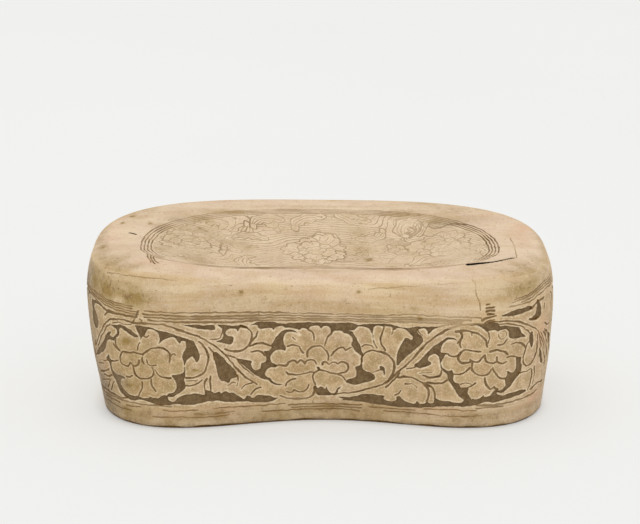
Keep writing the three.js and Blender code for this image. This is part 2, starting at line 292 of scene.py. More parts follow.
@dataclass(frozen=True)
class Cut:
    """One drawn shape: a closed outline left in slip or cut to the ground, or an open stroke."""

    layer: Layer
    points: tuple[tuple[float, float], ...]
    width: float = 0.42

    def moved(self, place: "Placement") -> "Cut":
        """The same cut, drawn at another place on the wall.

        Args:
            place: where its group goes.

        Returns:
            The cut with its points moved and stretched.
        """
        at = tuple(
            ((s - place.origin) * place.stretch + place.arc, place.foot + (z - DRAWN_FOOT) * place.rise)
            for s, z in self.points
        )
        return Cut(self.layer, at, self.width)

    def kept(self, low: float, high: float) -> Optional["Cut"]:
        """The cut between two arc lengths: a stroke is clipped there, an outline stays whole or goes.

        Args:
            low: arc length in mm that it starts after.
            high: arc length in mm that it ends before.

        Returns:
            The cut, or None where nothing of it is left.
        """
        held = tuple(p for p in self.points if low < p[0] < high)
        whole = len(held) == len(self.points)
        if self.layer is Layer.STROKE:
            return Cut(self.layer, held, self.width) if len(held) > 1 else None
        return self if whole else None

    def line(self, per: int = 6) -> Array:
        """The points joined by a Catmull-Rom curve, as a polyline.

        Args:
            per: steps from point to point.

        Returns:
            Corners, one row each.
        """
        p = np.array(self.points, float)
        closed = self.layer is not Layer.STROKE
        if closed:
            q = np.concatenate([p[-1:], p, p[:2]])
        else:
            q = np.concatenate([2 * p[:1] - p[1:2], p, 2 * p[-1:] - p[-2:-1]])
        a, b, c, d = q[:-3], q[1:-2], q[2:-1], q[3:]
        t = (np.arange(per) / per)[None, :, None]
        a, b, c, d = (v[:, None, :] for v in (a, b, c, d))
        curve = 0.5 * (2 * b + (c - a) * t + (2 * a - 5 * b + 4 * c - d) * t ** 2
                       + (3 * b - a - 3 * c + d) * t ** 3)
        out = curve.reshape(-1, 2)
        return out if closed else np.concatenate([out, p[-1:]])


@dataclass(frozen=True)
class Placement:
    """Where a drawn group of cuts goes on the wall.

    Its origin moves to arc and its foot to foot, stretched along by stretch and up by rise.
    """

    origin: float
    arc: float
    stretch: float
    foot: float
    rise: float


def pairs(values: Sequence[float]) -> tuple[tuple[float, float], ...]:
    """Flat coordinates as (along, up) pairs."""
    return tuple(zip(values[0::2], values[1::2]))


def pit(*values: float) -> Cut:
    """A closed shape cut down to the ground."""
    return Cut(Layer.GROUND, pairs(values))


def vein(*values: float, width: float = 0.36) -> Cut:
    """An open incised stroke."""
    return Cut(Layer.STROKE, pairs(values), width)


# Left flower of the front and the ground round it, as arc length and height in mm.
LEFT_BAY = (
    pit(-134.6, 65.2, -130, 66.3, -125.4, 67.3, -121.4, 66.4, -117.4, 64.6, -113.6, 60.9, -115.6, 60.4,
        -118.6, 61.6, -121.4, 63.2, -124.4, 64.6, -126.4, 64, -127.1, 61.4, -129, 58.8, -131.4, 56.8,
        -132.6, 55.4, -133.2, 57.4, -130.6, 59.8, -129.2, 61.8, -129.8, 63.6, -131.8, 64.5),
    pit(-115, 68.3, -110, 68.3, -105, 67.6, -100, 66.2, -95, 64.9, -90, 63.2, -86, 61.4, -82, 59.8,
        -84.6, 58.9, -86.4, 59.2, -87.6, 57.3, -88.6, 59.2, -90, 60.9, -92.9, 61.4, -96, 60.6,
        -98.2, 59, -100.6, 57, -99.7, 59.5, -100, 63.2, -101.4, 65.3, -104.3, 66.4, -107, 66,
        -108.4, 63.4, -109.4, 62, -110.9, 61, -112.2, 58.8, -112.6, 56.6, -112.4, 60.4, -113.6, 64,
        -114.8, 66.8),
    pit(-86.4, 60.6, -80.7, 59.3, -79, 58.6, -77.6, 55.5, -76.6, 52, -76.4, 48.6, -77.5, 45.8,
        -78.8, 44.7, -79.9, 46.8, -80.9, 48.8, -83, 47.3, -84.9, 45, -86.1, 42.4, -86.6, 45.5,
        -86.9, 48.6, -85.9, 51.6, -84.4, 54, -83.8, 57.4, -84.8, 58.8, -87, 59.2),
    pit(-94.8, 36.3, -92, 36.8, -90, 37.1, -87.2, 38.8, -86.5, 41.6, -86.1, 41.4, -86.2, 38.6,
        -86.4, 35.6, -87.3, 33, -86.9, 30, -88, 27.2, -91, 24.7, -94.4, 22.6, -97, 21.9, -100.2, 22.2,
        -98.6, 23.9, -95.4, 24.9, -93.5, 27, -92.5, 29.6, -93, 32.6),
    pit(-134.6, 60.8, -138.4, 59.4, -142, 56, -146, 51.8, -151, 47.8, -156, 44.4, -161, 39.8,
        -157, 40.2, -152, 42.6, -147, 45.2, -143.8, 47.4, -141.4, 51.4, -138, 54.8, -132.2, 55.2,
        -133.4, 57.4, -136, 58),
    pit(-145, 40.8, -142.6, 43.2, -140.4, 44.6, -139.6, 42.2, -137.6, 40.8, -139, 38.6, -138.8, 35.4,
        -137.2, 33.6, -134, 32.8, -131, 32.9, -128, 31.8, -127.8, 30.8, -130.8, 30.2, -132.2, 28.4,
        -132.2, 25.8, -129.6, 22.8, -126, 21, -122, 20.2, -118.4, 20.6, -116.6, 19.9, -113.8, 20.2,
        -112.2, 20.4, -111, 21.8, -109.8, 20.6, -106, 20.4, -103.4, 22.2, -101, 22.9, -99.6, 21.6,
        -99, 16.6, -101.4, 16.1, -104.5, 15.2, -108, 16, -112, 17.6, -118, 18.2, -124, 17, -130, 17.8,
        -134, 20.4, -136, 24, -137.6, 28, -139.8, 31, -141, 34.6, -141.2, 37.6, -142.8, 39.6),
    pit(-158.6, 76, -154, 77, -150.6, 76.2, -152.8, 74.4, -153.6, 71.6, -151, 69.4, -148.6, 66,
        -149, 62, -152, 59, -156, 58.6, -158.6, 62, -159, 69),
    vein(-133.4, 53.2, -131.2, 50.8, -129.2, 49.6, width=0.44),
    vein(-130.6, 57, -131.4, 54, -130.4, 51.4, -128.2, 49.4, width=0.42),
    vein(-111.6, 49.7, -114, 50, -118, 50.3, -122, 50, -125.6, 49.4, -128, 47.2, -129.1, 44.6,
         -128.4, 41.8, -125.6, 40.2, -122.4, 41, -121, 43.1, -119.4, 41.4, -116.9, 41.4, -115, 43.2,
         -114.4, 45.4, width=0.5),
    vein(-111.4, 50, -107, 52.8, -103.4, 54.2, -100.4, 54.7, -97.6, 54.3, -95.3, 52.2, -94.3, 49,
         -94.9, 45.4, width=0.42),
    vein(-109.4, 46.4, -108.8, 43.8, -106.6, 42.6, -103.8, 42.9, width=0.36),
    vein(-94.3, 48.8, -92.9, 50.5, -91.6, 50.9, -91, 50, width=0.34),
    vein(-112.1, 48, -112.5, 45.6, -111.7, 43.5, width=0.4),
    vein(-119.3, 41, -119.3, 37.6, -118, 34.6, -115, 33.3, -110.8, 33.7, -107.2, 35.3, -105.8, 38.3,
         -106.5, 41.4, width=0.46),
    vein(-104.7, 39.8, -103, 36.8, -100, 34.9, -95.4, 34.8, width=0.36),
    vein(-108.2, 33, -108.6, 30.4, -107.9, 27.6, -106.4, 25.3, width=0.4),
    vein(-114.6, 30.8, -115.6, 27, -117.4, 23.4, -119.3, 20.6, width=0.4),
    vein(-140, 40.2, -135.7, 41.1, -131.1, 43, width=0.4),
    vein(-125.9, 32.8, -122.9, 33.4, -121, 34.3, width=0.4),
    vein(-109.6, 61.8, -107.4, 61.7, -106.2, 62.5, width=0.34),
    vein(-114.8, 52.4, -113.8, 55.4, -112.6, 57.4, width=0.42),
    vein(-160, 45.6, -155.6, 49.4, -150.6, 54.4, -146, 59, -142.4, 62.6, -139.6, 65.3, -135.7, 68.2,
         -131.4, 69.6, -125.7, 70.4, -120, 70.7, -116.6, 69.8, width=0.42),
    vein(-154, 47.4, -150, 51.6, -146, 55.6, -142, 59.6, -138.4, 63.4, -134.6, 65.6, width=0.4),
    vein(-117.6, 68.4, -122, 68.2, -127, 68.3, -132, 67.3, width=0.26),
    vein(-139.5, 70.8, -135.8, 73.4, -128.6, 74.1, -121.4, 73.7, -114.8, 73.9, width=0.8),
    vein(-152, 76.9, -145, 76.4, -140, 75, -136, 73.8, width=0.8),
    vein(-158, 29, -152, 30.6, -147, 32.4, -143, 34.2, width=0.4),
    vein(-152, 28.6, -146, 28.8, -140.4, 30.4, width=0.4),
    vein(-153, 38, -148, 38.6, -144, 40.2, width=0.3),
    vein(-150, 20, -146.4, 24, -142.6, 28, width=0.3),
    vein(-145.6, 19.6, -142.4, 23.2, -139.4, 26.6, width=0.3),
    vein(-158, 23.4, -151, 25, -145, 27.2, width=0.3),
    vein(-160, 34, -154, 35.4, -149, 36.6, width=0.34),
)

# Stems and leaves from the left to the middle flower.
LEFT_SPRAY = (
    pit(-86.4, 70.2, -80.7, 69.6, -75.7, 69.1, -69.3, 68.8, -66, 68.6, -65.1, 67, -66, 65.3,
        -70, 65.8, -75.7, 66.6, -80.7, 68.2),
    pit(-65.6, 57.8, -62, 59, -60.3, 61.4, -61.3, 63.6, -61, 65.9, -64, 68.9, -60, 68.2, -54, 67.3,
        -48, 66.9, -45.2, 64.6, -46.8, 64.9, -49.4, 65.7, -50.9, 64.2, -51.4, 62.6, -52.6, 64.6,
        -55.4, 65.5, -58, 64.6, -58.9, 62.8, -58, 61, -54.6, 60.2, -54, 58, -54.8, 56.2, -57.1, 55.3,
        -61.4, 56.4),
    pit(-43.8, 66.4, -41, 68, -35.7, 68.6, -29.3, 68, -25.7, 66.9, -21.4, 66.2, -22.4, 64.7,
        -24.6, 64.9, -27.6, 64.3, -29.2, 62.6, -30.4, 63.6, -33, 64, -36.4, 63.6, -38.4, 64.5,
        -39.2, 66, -41, 66.9),
    pit(-67.6, 50, -65, 50.6, -61.8, 47, -58.6, 42.4, -55, 38.2, -54.1, 35, -54.5, 33, -57.4, 32.2,
        -59.4, 29.6, -61.8, 30.8, -64.4, 31.6, -65.7, 34.4, -66.4, 38.3, -66.7, 44),
    pit(-53.8, 45, -50, 44.9, -47, 44.2, -43.6, 42.8, -44.5, 40.6, -43.6, 38.2, -41.4, 36.4,
        -39, 37.6, -37.6, 38.2, -36.2, 34, -35.4, 30.6, -37, 30.3, -40, 32.2, -44.3, 35.4, -48.6, 39.7,
        -52, 42.6),
    pit(-100.4, 20.6, -99, 19.4, -97.4, 18.5, -95.4, 18.8, -93, 21, -90, 22.5, -85, 23.7, -79.5, 23.4,
        -76, 22.8, -75.3, 25.6, -74.6, 25.6, -73, 25.3, -71.3, 24.9, -69.2, 23.3, -66.4, 24, -65, 23,
        -62.5, 24.2, -60, 22.8, -57, 22.4, -55, 20.8, -53, 19.3, -50.6, 17.9, -48.6, 19.6, -47.2, 19.4,
        -45.8, 18, -44.2, 18.1, -42.4, 19.5, -39, 19.5, -35.6, 18.7, -30.6, 17.3, -28.6, 16.9,
        -30.4, 15.9, -34.2, 14.4, -40, 14.4, -45.7, 15.1, -51.4, 16.1, -58, 16.1, -65, 17.2,
        -71.4, 18.3, -77, 17.5, -83, 16.1, -90, 16.1, -95, 16.8, -100, 16.4),
    vein(-117, 69.7, -110, 70, -105, 70.1, -100, 69.9, -95.7, 69.5, -90.7, 67.8, -85.7, 65.6,
         -80, 63.2, -75.7, 61.4, -71.1, 58.6, -66.4, 55.1, -62.9, 51.9, -60, 47.8, -57.1, 44,
         -54.6, 39.8, -51.4, 35.6, -47.1, 31.3, -41.4, 27, width=0.44),
    vein(-57.6, 48, -54.3, 46.2, -51.4, 41.6, -47.4, 37.2, -43, 33, width=0.26),
    vein(-75.8, 58.4, -73.2, 55.4, -71.4, 51.9, -70.8, 47.6, -71.8, 43.3, -73.9, 39, -77.1, 36.2,
         -81.4, 34.7, -85.9, 34.7, width=0.52),
    vein(-86.8, 29.5, -83, 29.4, -79.3, 30.8, -76.2, 33.1, width=0.4),
    vein(-73.2, 33.5, -74.8, 30.6, -75.3, 25.4, width=0.5),
    vein(-70.8, 35.3, -71.4, 30.6, -71.6, 25.4, width=0.42),
    vein(-69.8, 54.6, -67.4, 50.2, -66.7, 46, width=0.34),
    vein(-79.2, 33.2, -83, 32.4, -86, 32.6, width=0.24),
    vein(-60.2, 52.3, -56.4, 50.8, -51.4, 50.3, -47.1, 51.8, -43.9, 55.4, -42.6, 59.4, -43.5, 62.8,
         -46.2, 65.5, -49.3, 66.8, width=0.5),
    vein(-38.6, 62.1, -40, 59, -42.6, 56.4, width=0.44),
    vein(-44.6, 53.2, -40, 54.3, -35.7, 54.2, -31.2, 52.2, width=0.44),
    vein(-43.8, 49.3, -40, 49.5, -37.1, 48.4, -35.3, 46, width=0.42),
    vein(-60.6, 48.9, -56.4, 46.8, -53.6, 45.4, width=0.3),
    vein(-53.9, 34.4, -53.7, 30.4, -54.6, 27, width=0.44),
    vein(-68.8, 59.6, -65.4, 59.4, -62.6, 60.4, -61.3, 63, width=0.36),
    vein(-52, 24.6, -49, 27.4, -44.6, 28.4, width=0.3),
    vein(-60.6, 27.4, -57.6, 29.6, -55.4, 29.4, width=0.3),
    vein(-46.4, 20.4, -44, 23, -39.4, 24.8, width=0.3),
)

# Middle flower, at the waist.
MIDDLE_BAY = (
    pit(-29, 55.4, -28, 57.8, -25.8, 60, -22.4, 62.3, -18.6, 62.5, -15, 60.9, -12.8, 58.4,
        -14.2, 59.7, -18.6, 60.8, -21.6, 59.7, -23.1, 56.5, -22.9, 53, -22, 51.2, -22.5, 48.5,
        -24, 49.3, -26.6, 49, -29.4, 48.3, -31.2, 46.5, -31.9, 43.8, -31.2, 41, -28.4, 39.3,
        -28.6, 37.7, -32, 37.7, -34.6, 36.4, -35.7, 33.8, -34.6, 31.5, -32.8, 30.2, -31.2, 28.2,
        -28.6, 26.8, -24.8, 26, -28.6, 25.4, -32.4, 27.2, -34.4, 29.2, -37, 30.2, -36.4, 33,
        -37.4, 36, -38.8, 38.2, -37.6, 41, -35.4, 41.8, -34.6, 44, -35, 46.6, -36, 48.8, -33.6, 49,
        -31.8, 50, -31, 51.6, -30.8, 53.4),
    pit(-22.8, 65.2, -18, 66.7, -10, 66.6, 0, 66.4, 10, 66.3, 18, 66.5, 22.6, 65.8, 23, 64.6,
        20.6, 62, 17.6, 61.4, 14.4, 60.2, 11.4, 61.3, 8.4, 60.8, 6.4, 59.2, 6, 61.8, 4.4, 63.8,
        1.8, 63.9, 0.2, 62.4, -1.2, 63.6, -3.8, 64.3, -6.4, 63.4, -7.6, 61.4, -9, 62.6, -11, 62.8,
        -12.8, 61.6, -14.6, 62.2, -18.4, 63.6, -21.4, 63.8),
    pit(13.4, 60, 16.4, 61.2, 19.3, 60.8, 20.6, 58.8, 22.2, 55.4, 23.8, 52.2, 24.4, 50.4, 25, 47.8,
        26, 46, 25.5, 43.4, 25.3, 40, 25.4, 37.5, 26.4, 35.7, 30.7, 34, 33, 33.1, 33.7, 31,
        32.8, 29.2, 30, 28, 25.7, 26.4, 20, 25.2, 17.1, 25.8, 14.8, 26.9, 16.4, 28.7, 19.3, 29.8,
        21.4, 31.3, 21.8, 34, 20.8, 37, 22.4, 38.2, 24.1, 39, 24.6, 41.5, 24.8, 44, 23, 46.6,
        20.8, 48.4, 19.5, 50.6, 18.4, 52.2, 19.2, 55.3, 18.5, 57.9, 16.4, 59.2),
    pit(-4.7, 24.9, -3, 22.9, -1.2, 23.3, 0, 22.8, 1.5, 22.1, 2.5, 24.4, 3, 21.8, 4.4, 20, 6.4, 19.2,
        8.4, 20, 9.8, 22.2, 12.4, 24, 10.2, 20.8, 9.6, 19.3, 7, 17.9, 3, 17.4, -2, 17.4, -4.2, 18.8,
        -5, 21),
    pit(-3.4, 36.6, -2, 37, -0.9, 35.6, -2.2, 34.7),
    vein(-7.4, 61.3, -5.2, 59.6, -4.2, 57.4, -4, 54.8, width=0.5),
    vein(-20.9, 51.2, -17.1, 52.1, -13.9, 50.7, -11.3, 46.6, width=0.46),
    vein(-8.9, 43.8, -8.7, 47.2, -6.2, 50, -2.9, 50.9, 0.4, 50.2, 2.9, 48, 4.1, 44.8, 3.7, 41.6,
         width=0.48),
    vein(2, 51.4, 2.8, 54.6, 4.5, 57.4, 6.6, 59.2, width=0.46),
    vein(5.6, 44.2, 7.9, 47.1, 10.7, 49.3, 13.2, 50.1, 14.6, 48.5, 16.4, 49.7, 18.4, 50.4, width=0.48),
    vein(-28.8, 38.9, -25, 38.9, -22.1, 38.7, -20.5, 40.2, -17.2, 42, -15, 40, -12.9, 41.4,
         -11.4, 40.6, -10.4, 39, -9.3, 40.9, -6.8, 41.7, -4.4, 41, -3.2, 39, width=0.46),
    vein(-22.5, 34.4, -20.4, 32.5, -16.4, 32, -11.4, 32.5, -5.7, 33.6, width=0.44),
    vein(0.7, 38.1, 0.9, 39.8, 2.9, 40.4, 4.5, 39, 6.3, 40, 8.7, 40.3, 10.3, 38.9, 12, 40.2,
         14.6, 40.3, 16.4, 38.1, 16.1, 35.3, 14.3, 33.2, 10, 32.4, 5.7, 33, 2.1, 34.4, -1.8, 34.9,
         -4.6, 33.5, -5.8, 31, -5.5, 28, -4.4, 25, width=0.5),
    vein(10, 31.8, 12.9, 30.4, 14.8, 28.2, width=0.46),
    vein(-22.9, 24.8, -22.2, 26.8, -20, 28.6, -17.1, 29.3, width=0.4),
    vein(-17.8, 21.4, -15, 20.2, -11.4, 20.4, -9.5, 22.4, -8.6, 25, width=0.48),
    vein(-27.1, 17.8, -22.1, 16.3, -17.1, 15.4, -11.4, 15.4, -7.2, 16.9, -5.3, 19.5, -5, 23.4,
         width=0.5),
    vein(-23, 21, -20.2, 19.6, -17.6, 21.2, width=0.3),
    vein(-17.2, 57.6, -15.5, 55.4, width=0.2),
)

# Stems and leaves from the middle to the right flower.
RIGHT_SPRAY = (
    pit(50.5, 65.5, 55.7, 66.1, 60, 66.9, 65.7, 67.4, 73, 67.3, 70, 65.6, 66.8, 62.6, 66.3, 64.6,
        64.4, 66, 62.2, 65.7, 60, 64.3, 60.6, 62.3, 63, 60.6, 63.6, 58, 62, 55.2, 58.6, 51.4,
        54.3, 47.4, 50.7, 43.5, 48.6, 41, 47.4, 40.7, 47.1, 44.6, 47.9, 49, 49.6, 54, 51.2, 57,
        52.3, 58.7, 54.3, 59, 56.2, 57.6, 57.2, 59.3, 55.8, 61.8, 53.4, 64.3),
    pit(22, 65.4, 30.7, 66.7, 40, 67.4, 44, 67.1, 50.5, 66, 50, 65.3, 47.4, 65.2, 45.2, 63.4,
        44.4, 65.3, 41, 65.8, 39.4, 65.2, 38.9, 63.4, 38.2, 65.2, 36, 65.9, 33.6, 65.2, 32.5, 63,
        32.2, 59, 33, 55, 32, 56.6, 31.4, 59.8, 30.2, 62.6, 28, 64.2, 25, 64.6, 23, 64.5),
    pit(36.4, 39.1, 38.4, 39, 39.7, 37.3, 40.3, 34.8, 39.7, 32.4, 39, 35, 37.8, 36.1, 36, 36.4,
        36.9, 37.4),
    pit(8.8, 16.2, 13.6, 16.6, 20.7, 17.4, 25.7, 18.9, 30.7, 19.4, 37.9, 19.2, 40, 18.9, 39.6, 17,
        42, 15.7, 45, 15.3, 47.9, 16.6, 48.2, 18.8, 49.6, 19.8, 50.9, 18.8, 52.4, 17, 55.7, 15.5,
        60, 15.4, 61.4, 17.2, 62.9, 15.5, 65.7, 15.6, 67.7, 17, 69.4, 16.3, 71.6, 16.8, 73.2, 19.6,
        77, 19, 80.7, 18.4, 86.6, 17.4, 90.8, 19.3, 87.6, 22.3, 84.8, 26.3, 82, 30.3, 80.2, 33.4,
        79.8, 35.8, 78.6, 37.3, 76.8, 38.8, 76.2, 41.4, 77.2, 40.6, 79.7, 38.9, 81.7, 39.6,
        83.4, 37, 83.5, 33.2, 84.7, 31.2, 87, 30.8, 88.3, 28.6, 90.4, 27.9, 93.6, 27.9, 93.2, 24.6,
        94.4, 22.2, 96, 20.3, 96.6, 15.6, 90.5, 15, 79.7, 14.8, 77, 14.4, 70, 13.2, 62.9, 12.8,
        55.7, 12.4, 48.6, 11.8, 41.4, 12.4, 30.7, 13.1, 20, 13.9, 11.6, 13.9, 13, 15),
    pit(58.6, 41.6, 58.9, 40.4, 62.9, 40, 67.1, 41.4, 69, 42.8, 68.9, 44.3, 67.2, 45.4, 67.5, 47.8,
        69.3, 49.2, 71.4, 49.8, 73.4, 48.6, 74.2, 46, 74.8, 43, 75.2, 40.6, 75.9, 39.2, 76, 41.6,
        75.5, 44.5, 76.3, 46.8, 77.4, 49.2, 77.6, 50.3, 75.2, 51.4, 74.9, 54, 76, 57, 78.2, 59.2,
        80.6, 60.1, 83.6, 59.1, 84.8, 57.8, 83.8, 59.9, 81, 61.3, 78.6, 61.4, 75.7, 59.2, 72.9, 57.2,
        69.3, 54, 66.4, 50.4, 63.6, 46.8, 60.7, 44),
    vein(7, 18.2, 13, 19, 19.3, 19.9, 25, 21.4, 30.7, 23.5, 35.7, 25.4, 40, 27.6, 43.6, 30.4,
         47.1, 34.4, 50.7, 38.2, 53.6, 41.2, 57.1, 45.2, 60, 48.9, 63.6, 53.8, 67.1, 57.9,
         71.4, 61.5, 75.7, 64.6, 80, 67.4, 84.3, 69, 88.6, 69.8, 94, 70.2, 100, 70.2, width=0.46),
    vein(40.4, 24.6, 43.6, 27.6, 46.4, 31.2, 49.6, 35.4, width=0.3),
    vein(72, 67, 75.4, 68.4, 79, 69.2, width=0.34),
    vein(32.2, 55.4, 33, 53.8, 34.8, 51.2, width=0.4),
    vein(38.9, 64.4, 37.6, 60.3, 37.1, 56.7, 38.2, 53.1, 40.2, 49.6, width=0.44),
    vein(44.7, 64.6, 45, 62.2, 44.4, 60.6, width=0.3),
    vein(25.2, 51.2, 27.9, 52.6, 30.7, 52.4, 32.3, 51.2, width=0.4),
    vein(25.3, 41, 25.4, 44, 26.3, 45.9, 28, 47.8, 31.4, 49.1, 35.7, 49, 40, 47.8, 43.6, 45.3,
         45.6, 41.7, 46, 38.1, 45, 34.2, 43, 30.4, width=0.5),
    vein(36.2, 36.6, 33.6, 35, 31.4, 34.4, width=0.4),
    vein(48.4, 32.5, 52.1, 33.2, 56.4, 33.3, 60.7, 32.1, 64.3, 29.9, 67.1, 26.7, 68.6, 23.1,
         68.3, 19.6, 67.5, 17.4, width=0.52),
    vein(65.8, 29.4, 70, 27.2, 72.4, 23.1, 73, 19.6, width=0.46),
    vein(64.3, 35, 69.3, 34, 73.6, 34.9, 75.5, 37.1, 75.8, 39.6, width=0.48),
    vein(67.1, 30.4, 71.4, 30.1, 76.4, 31, 79.8, 33, width=0.4),
    vein(53.8, 38.7, 57.6, 39.5, 59.4, 40.3, width=0.4),
    vein(60.2, 64.8, 61.4, 62.8, 63.6, 61.4, width=0.3),
    vein(62, 36.6, 66, 37, 70, 37.4, width=0.2),
    vein(47, 20, 49.4, 21.4, 50.6, 23.4, width=0.3),
    vein(53.4, 28.4, 57.6, 28.8, 60.8, 26.6, width=0.3),
)

# Right flower.
RIGHT_BAY = (
    pit(94.7, 69.6, 98.9, 69.5, 102.8, 70.1, 105.8, 71, 110, 70.1, 110.6, 68.3, 113.5, 68.2,
        118.2, 67, 122.8, 66.2, 125.2, 64.6, 127.4, 61, 130.8, 58.4, 127.4, 58.7, 124.3, 58.3,
        121.2, 58.7, 118.4, 59.4, 117, 60.8, 116.7, 63.2, 115.2, 65.1, 113.2, 65.7, 111.2, 65.5,
        109.7, 64.2, 108.2, 65.4, 105, 65.6, 103.2, 64.6, 101.6, 66.2, 99.3, 68),
    pit(123.9, 46, 125.8, 45.6, 128, 45.4, 128, 42.3, 129, 39.2, 128.6, 35.4, 127.4, 33.4, 125, 31.2,
        122.8, 28.6, 121.2, 26.4, 118.2, 24.4, 115, 23.1, 112.4, 24, 110.4, 25.8, 113.9, 25.2,
        116.5, 26.3, 117.9, 28.4, 117, 30.8, 116.4, 32.8, 118, 35.3, 117.7, 37.6, 121, 36.2,
        123.1, 37, 124.3, 40, 123.9, 43.8),
    pit(95, 16, 96.4, 20.3, 98.4, 20.1, 101.2, 20.5, 102.8, 22, 105, 21.5, 108, 22.3, 109.6, 24.7,
        110.8, 25.6, 112, 24, 113, 22.2, 116.6, 21.5, 122.8, 22.2, 127, 22.6,
        131, 22.8, 136, 22, 134, 20.2, 126, 18.9, 118.2, 18.1, 110.5, 17.2, 105, 17.9, 99, 15.9),
    vein(75.6, 50.8, 78.9, 50.3, 80.5, 49.2, 84.3, 49.2, 86.3, 50.4, width=0.42),
    vein(83.6, 65.2, 86.2, 65.7, 89.7, 65.9, 92.8, 65.4, 96.6, 64.2, 99.7, 61.9, 102.4, 58.8,
         103.2, 55.2, width=0.48),
    vein(86.4, 65.2, 87.5, 62.7, 87.2, 61, width=0.4),
    vein(92.8, 65.2, 93.5, 62.8, width=0.36),
    vein(86.6, 60.4, 86.2, 57.4, 87.2, 54.8, width=0.36),
    vein(103.6, 64.6, 104.4, 61, 104, 57.6, width=0.3),
    vein(116.6, 46.8, 119.6, 47.4, width=0.4),
    vein(88, 30.6, 91, 31.4, 94.6, 30.4, width=0.24),
    vein(118.6, 55.4, 122.4, 55.8, 125.2, 55.4, width=0.3),
    vein(84.8, 57.6, 86.2, 59.4, 87.2, 61, width=0.3),
    vein(99.3, 52.3, 96.6, 52.6, 92.8, 53.2, 90, 53.5, 87.8, 52.3, 86, 50, 85.8, 46.9, 87.8, 45,
         91.2, 44.8, 93.4, 45.6, 93.2, 47.2, 94.3, 46.1, 96.6, 45.4, 98.9, 46, 100.5, 48.1,
         101.7, 49.7, width=0.5),
    vein(105.1, 51.9, 108.2, 52.5, 111.2, 52.3, 114.3, 51.2, 117.4, 49, width=0.46),
    vein(102, 49.4, 102.8, 46.2, 105.1, 44.2, 108.2, 44, 109.8, 45.2, 109.7, 47.3, 110.4, 44.6,
         113.9, 43.2, 116.8, 43.9, width=0.46),
    vein(94.3, 44.8, 94.3, 41.2, 95.8, 38.5, 98.9, 36.8, 102.8, 36.2, 105.8, 37.7, 107, 40.2,
         width=0.5),
    vein(107.8, 41.4, 108.9, 38.5, 110.5, 36.2, 112.8, 33.8, 116.6, 33.1, width=0.46),
    vein(103.2, 34.4, 103.5, 31.5, 105.1, 28.5, 107.4, 26.5, 109.4, 27.7, width=0.46),
    vein(109.8, 28.2, 110.6, 26.8, 112.2, 25.7, width=0.4),
    vein(83.4, 37, 87.4, 37.3, 90.5, 38.8, 92.9, 41.6, width=0.44),
    vein(90.4, 27.9, 94.3, 28.9, 97.5, 31.3, width=0.4),
    vein(110.3, 55.8, 113.5, 56.3, 116.4, 58.9, width=0.42),
    vein(110.2, 62.4, 110.8, 60.4, 112.6, 59.6, 114.6, 60.6, 115.2, 62.6, 114, 64.4, 112, 64.6,
         width=0.24),
    vein(119.6, 47.4, 122.8, 46.5, 125.1, 45.5, 128, 45.5, width=0.42),
    vein(125.2, 55.6, 128.6, 53.4, 130.8, 50.8, 130.5, 48.1, 129.2, 45.2, width=0.5),
    vein(102.8, 20.6, 103.4, 22.4, width=0.36),
)

# Stems and leaves where the front turns into the right end.
RIGHT_END = (
    pit(112, 74.4, 115, 75.8, 119, 76.7, 125, 77.5, 131, 78, 135.2, 77.6, 135.4, 75.6, 130, 74.6,
        124, 73.8, 118, 73.7, 114, 74),
    pit(134.2, 60, 136.2, 60.6, 138.2, 57, 138.4, 52.4, 137, 50, 135, 52.4, 133.8, 56),
    pit(132, 69.4, 136, 68.5, 140, 67.4, 144, 68, 146.6, 71, 146, 75, 144, 79, 141, 80.2, 140.6, 77.4,
        140, 74, 138.4, 71.2, 135, 70),
    pit(145.8, 48, 148.6, 46, 151.4, 41.4, 154, 36.4, 152, 35.8, 149, 38.2, 147, 42.6),
    vein(143.4, 58, 147, 52, 151, 46, 156, 40, 162, 32, width=0.3),
    vein(146.6, 58, 151, 52.6, 156, 46.4, 162, 39, width=0.26),
    vein(150, 57.4, 156, 51.6, 162, 46, width=0.26),
    vein(133.8, 54.6, 132, 53, 130.4, 51, width=0.42),
    vein(140.6, 42.6, 142.4, 47.4, 142, 53, width=0.3),
    vein(141, 21.4, 150, 23.2, 160, 22, width=0.5),
    vein(131.4, 52.2, 129.7, 46, 130.5, 40.8, 133.5, 38.6, 137.4, 39.2, 140.5, 41.9, 142.8, 46.2,
         144, 50.8, 142.4, 57.4, width=0.56),
    vein(127, 34.7, 134.3, 34.7, 138.9, 36, width=0.36),
    vein(139.4, 34.4, 140, 30.4, 139.2, 25, 137.6, 21.6, width=0.6),
    vein(142.2, 36, 143.4, 30, 142.8, 24.6, width=0.5),
    vein(100, 70.2, 104, 71, 108.9, 71.4, 115.1, 71, 119.7, 70.5, 124.3, 69.3, 128.9, 67.1, 133.5, 65.1,
         138.2, 62.8, 142.4, 60, 146, 55.8, 150, 51, 154, 45.4, width=0.46),
    vein(110.2, 69.4, 115, 69.2, 120, 68.2, 125.6, 66.4, 130.4, 63, 134, 60.2, width=0.34),
    vein(133.5, 69.3, 137.4, 68.2, 143.5, 68.2, width=0.5),
    vein(135.4, 76.2, 138.4, 78, 143, 78.8, 150, 80, width=0.5),
    vein(146, 41, 147.6, 46.4, 146.4, 52, width=0.36),
)

PETAL_LINE, PETAL_VEIN = 0.32, 0.16
# Share of the size and number of petals, ring by ring.
BLOOM_RINGS = ((1.0, 7), (0.64, 5), (0.32, 3))
# Middle and radius of the panel's blooms.
PANEL_BLOOMS = ((-85, 7, 19), (-2, 10, 20), (80, 8, 20))


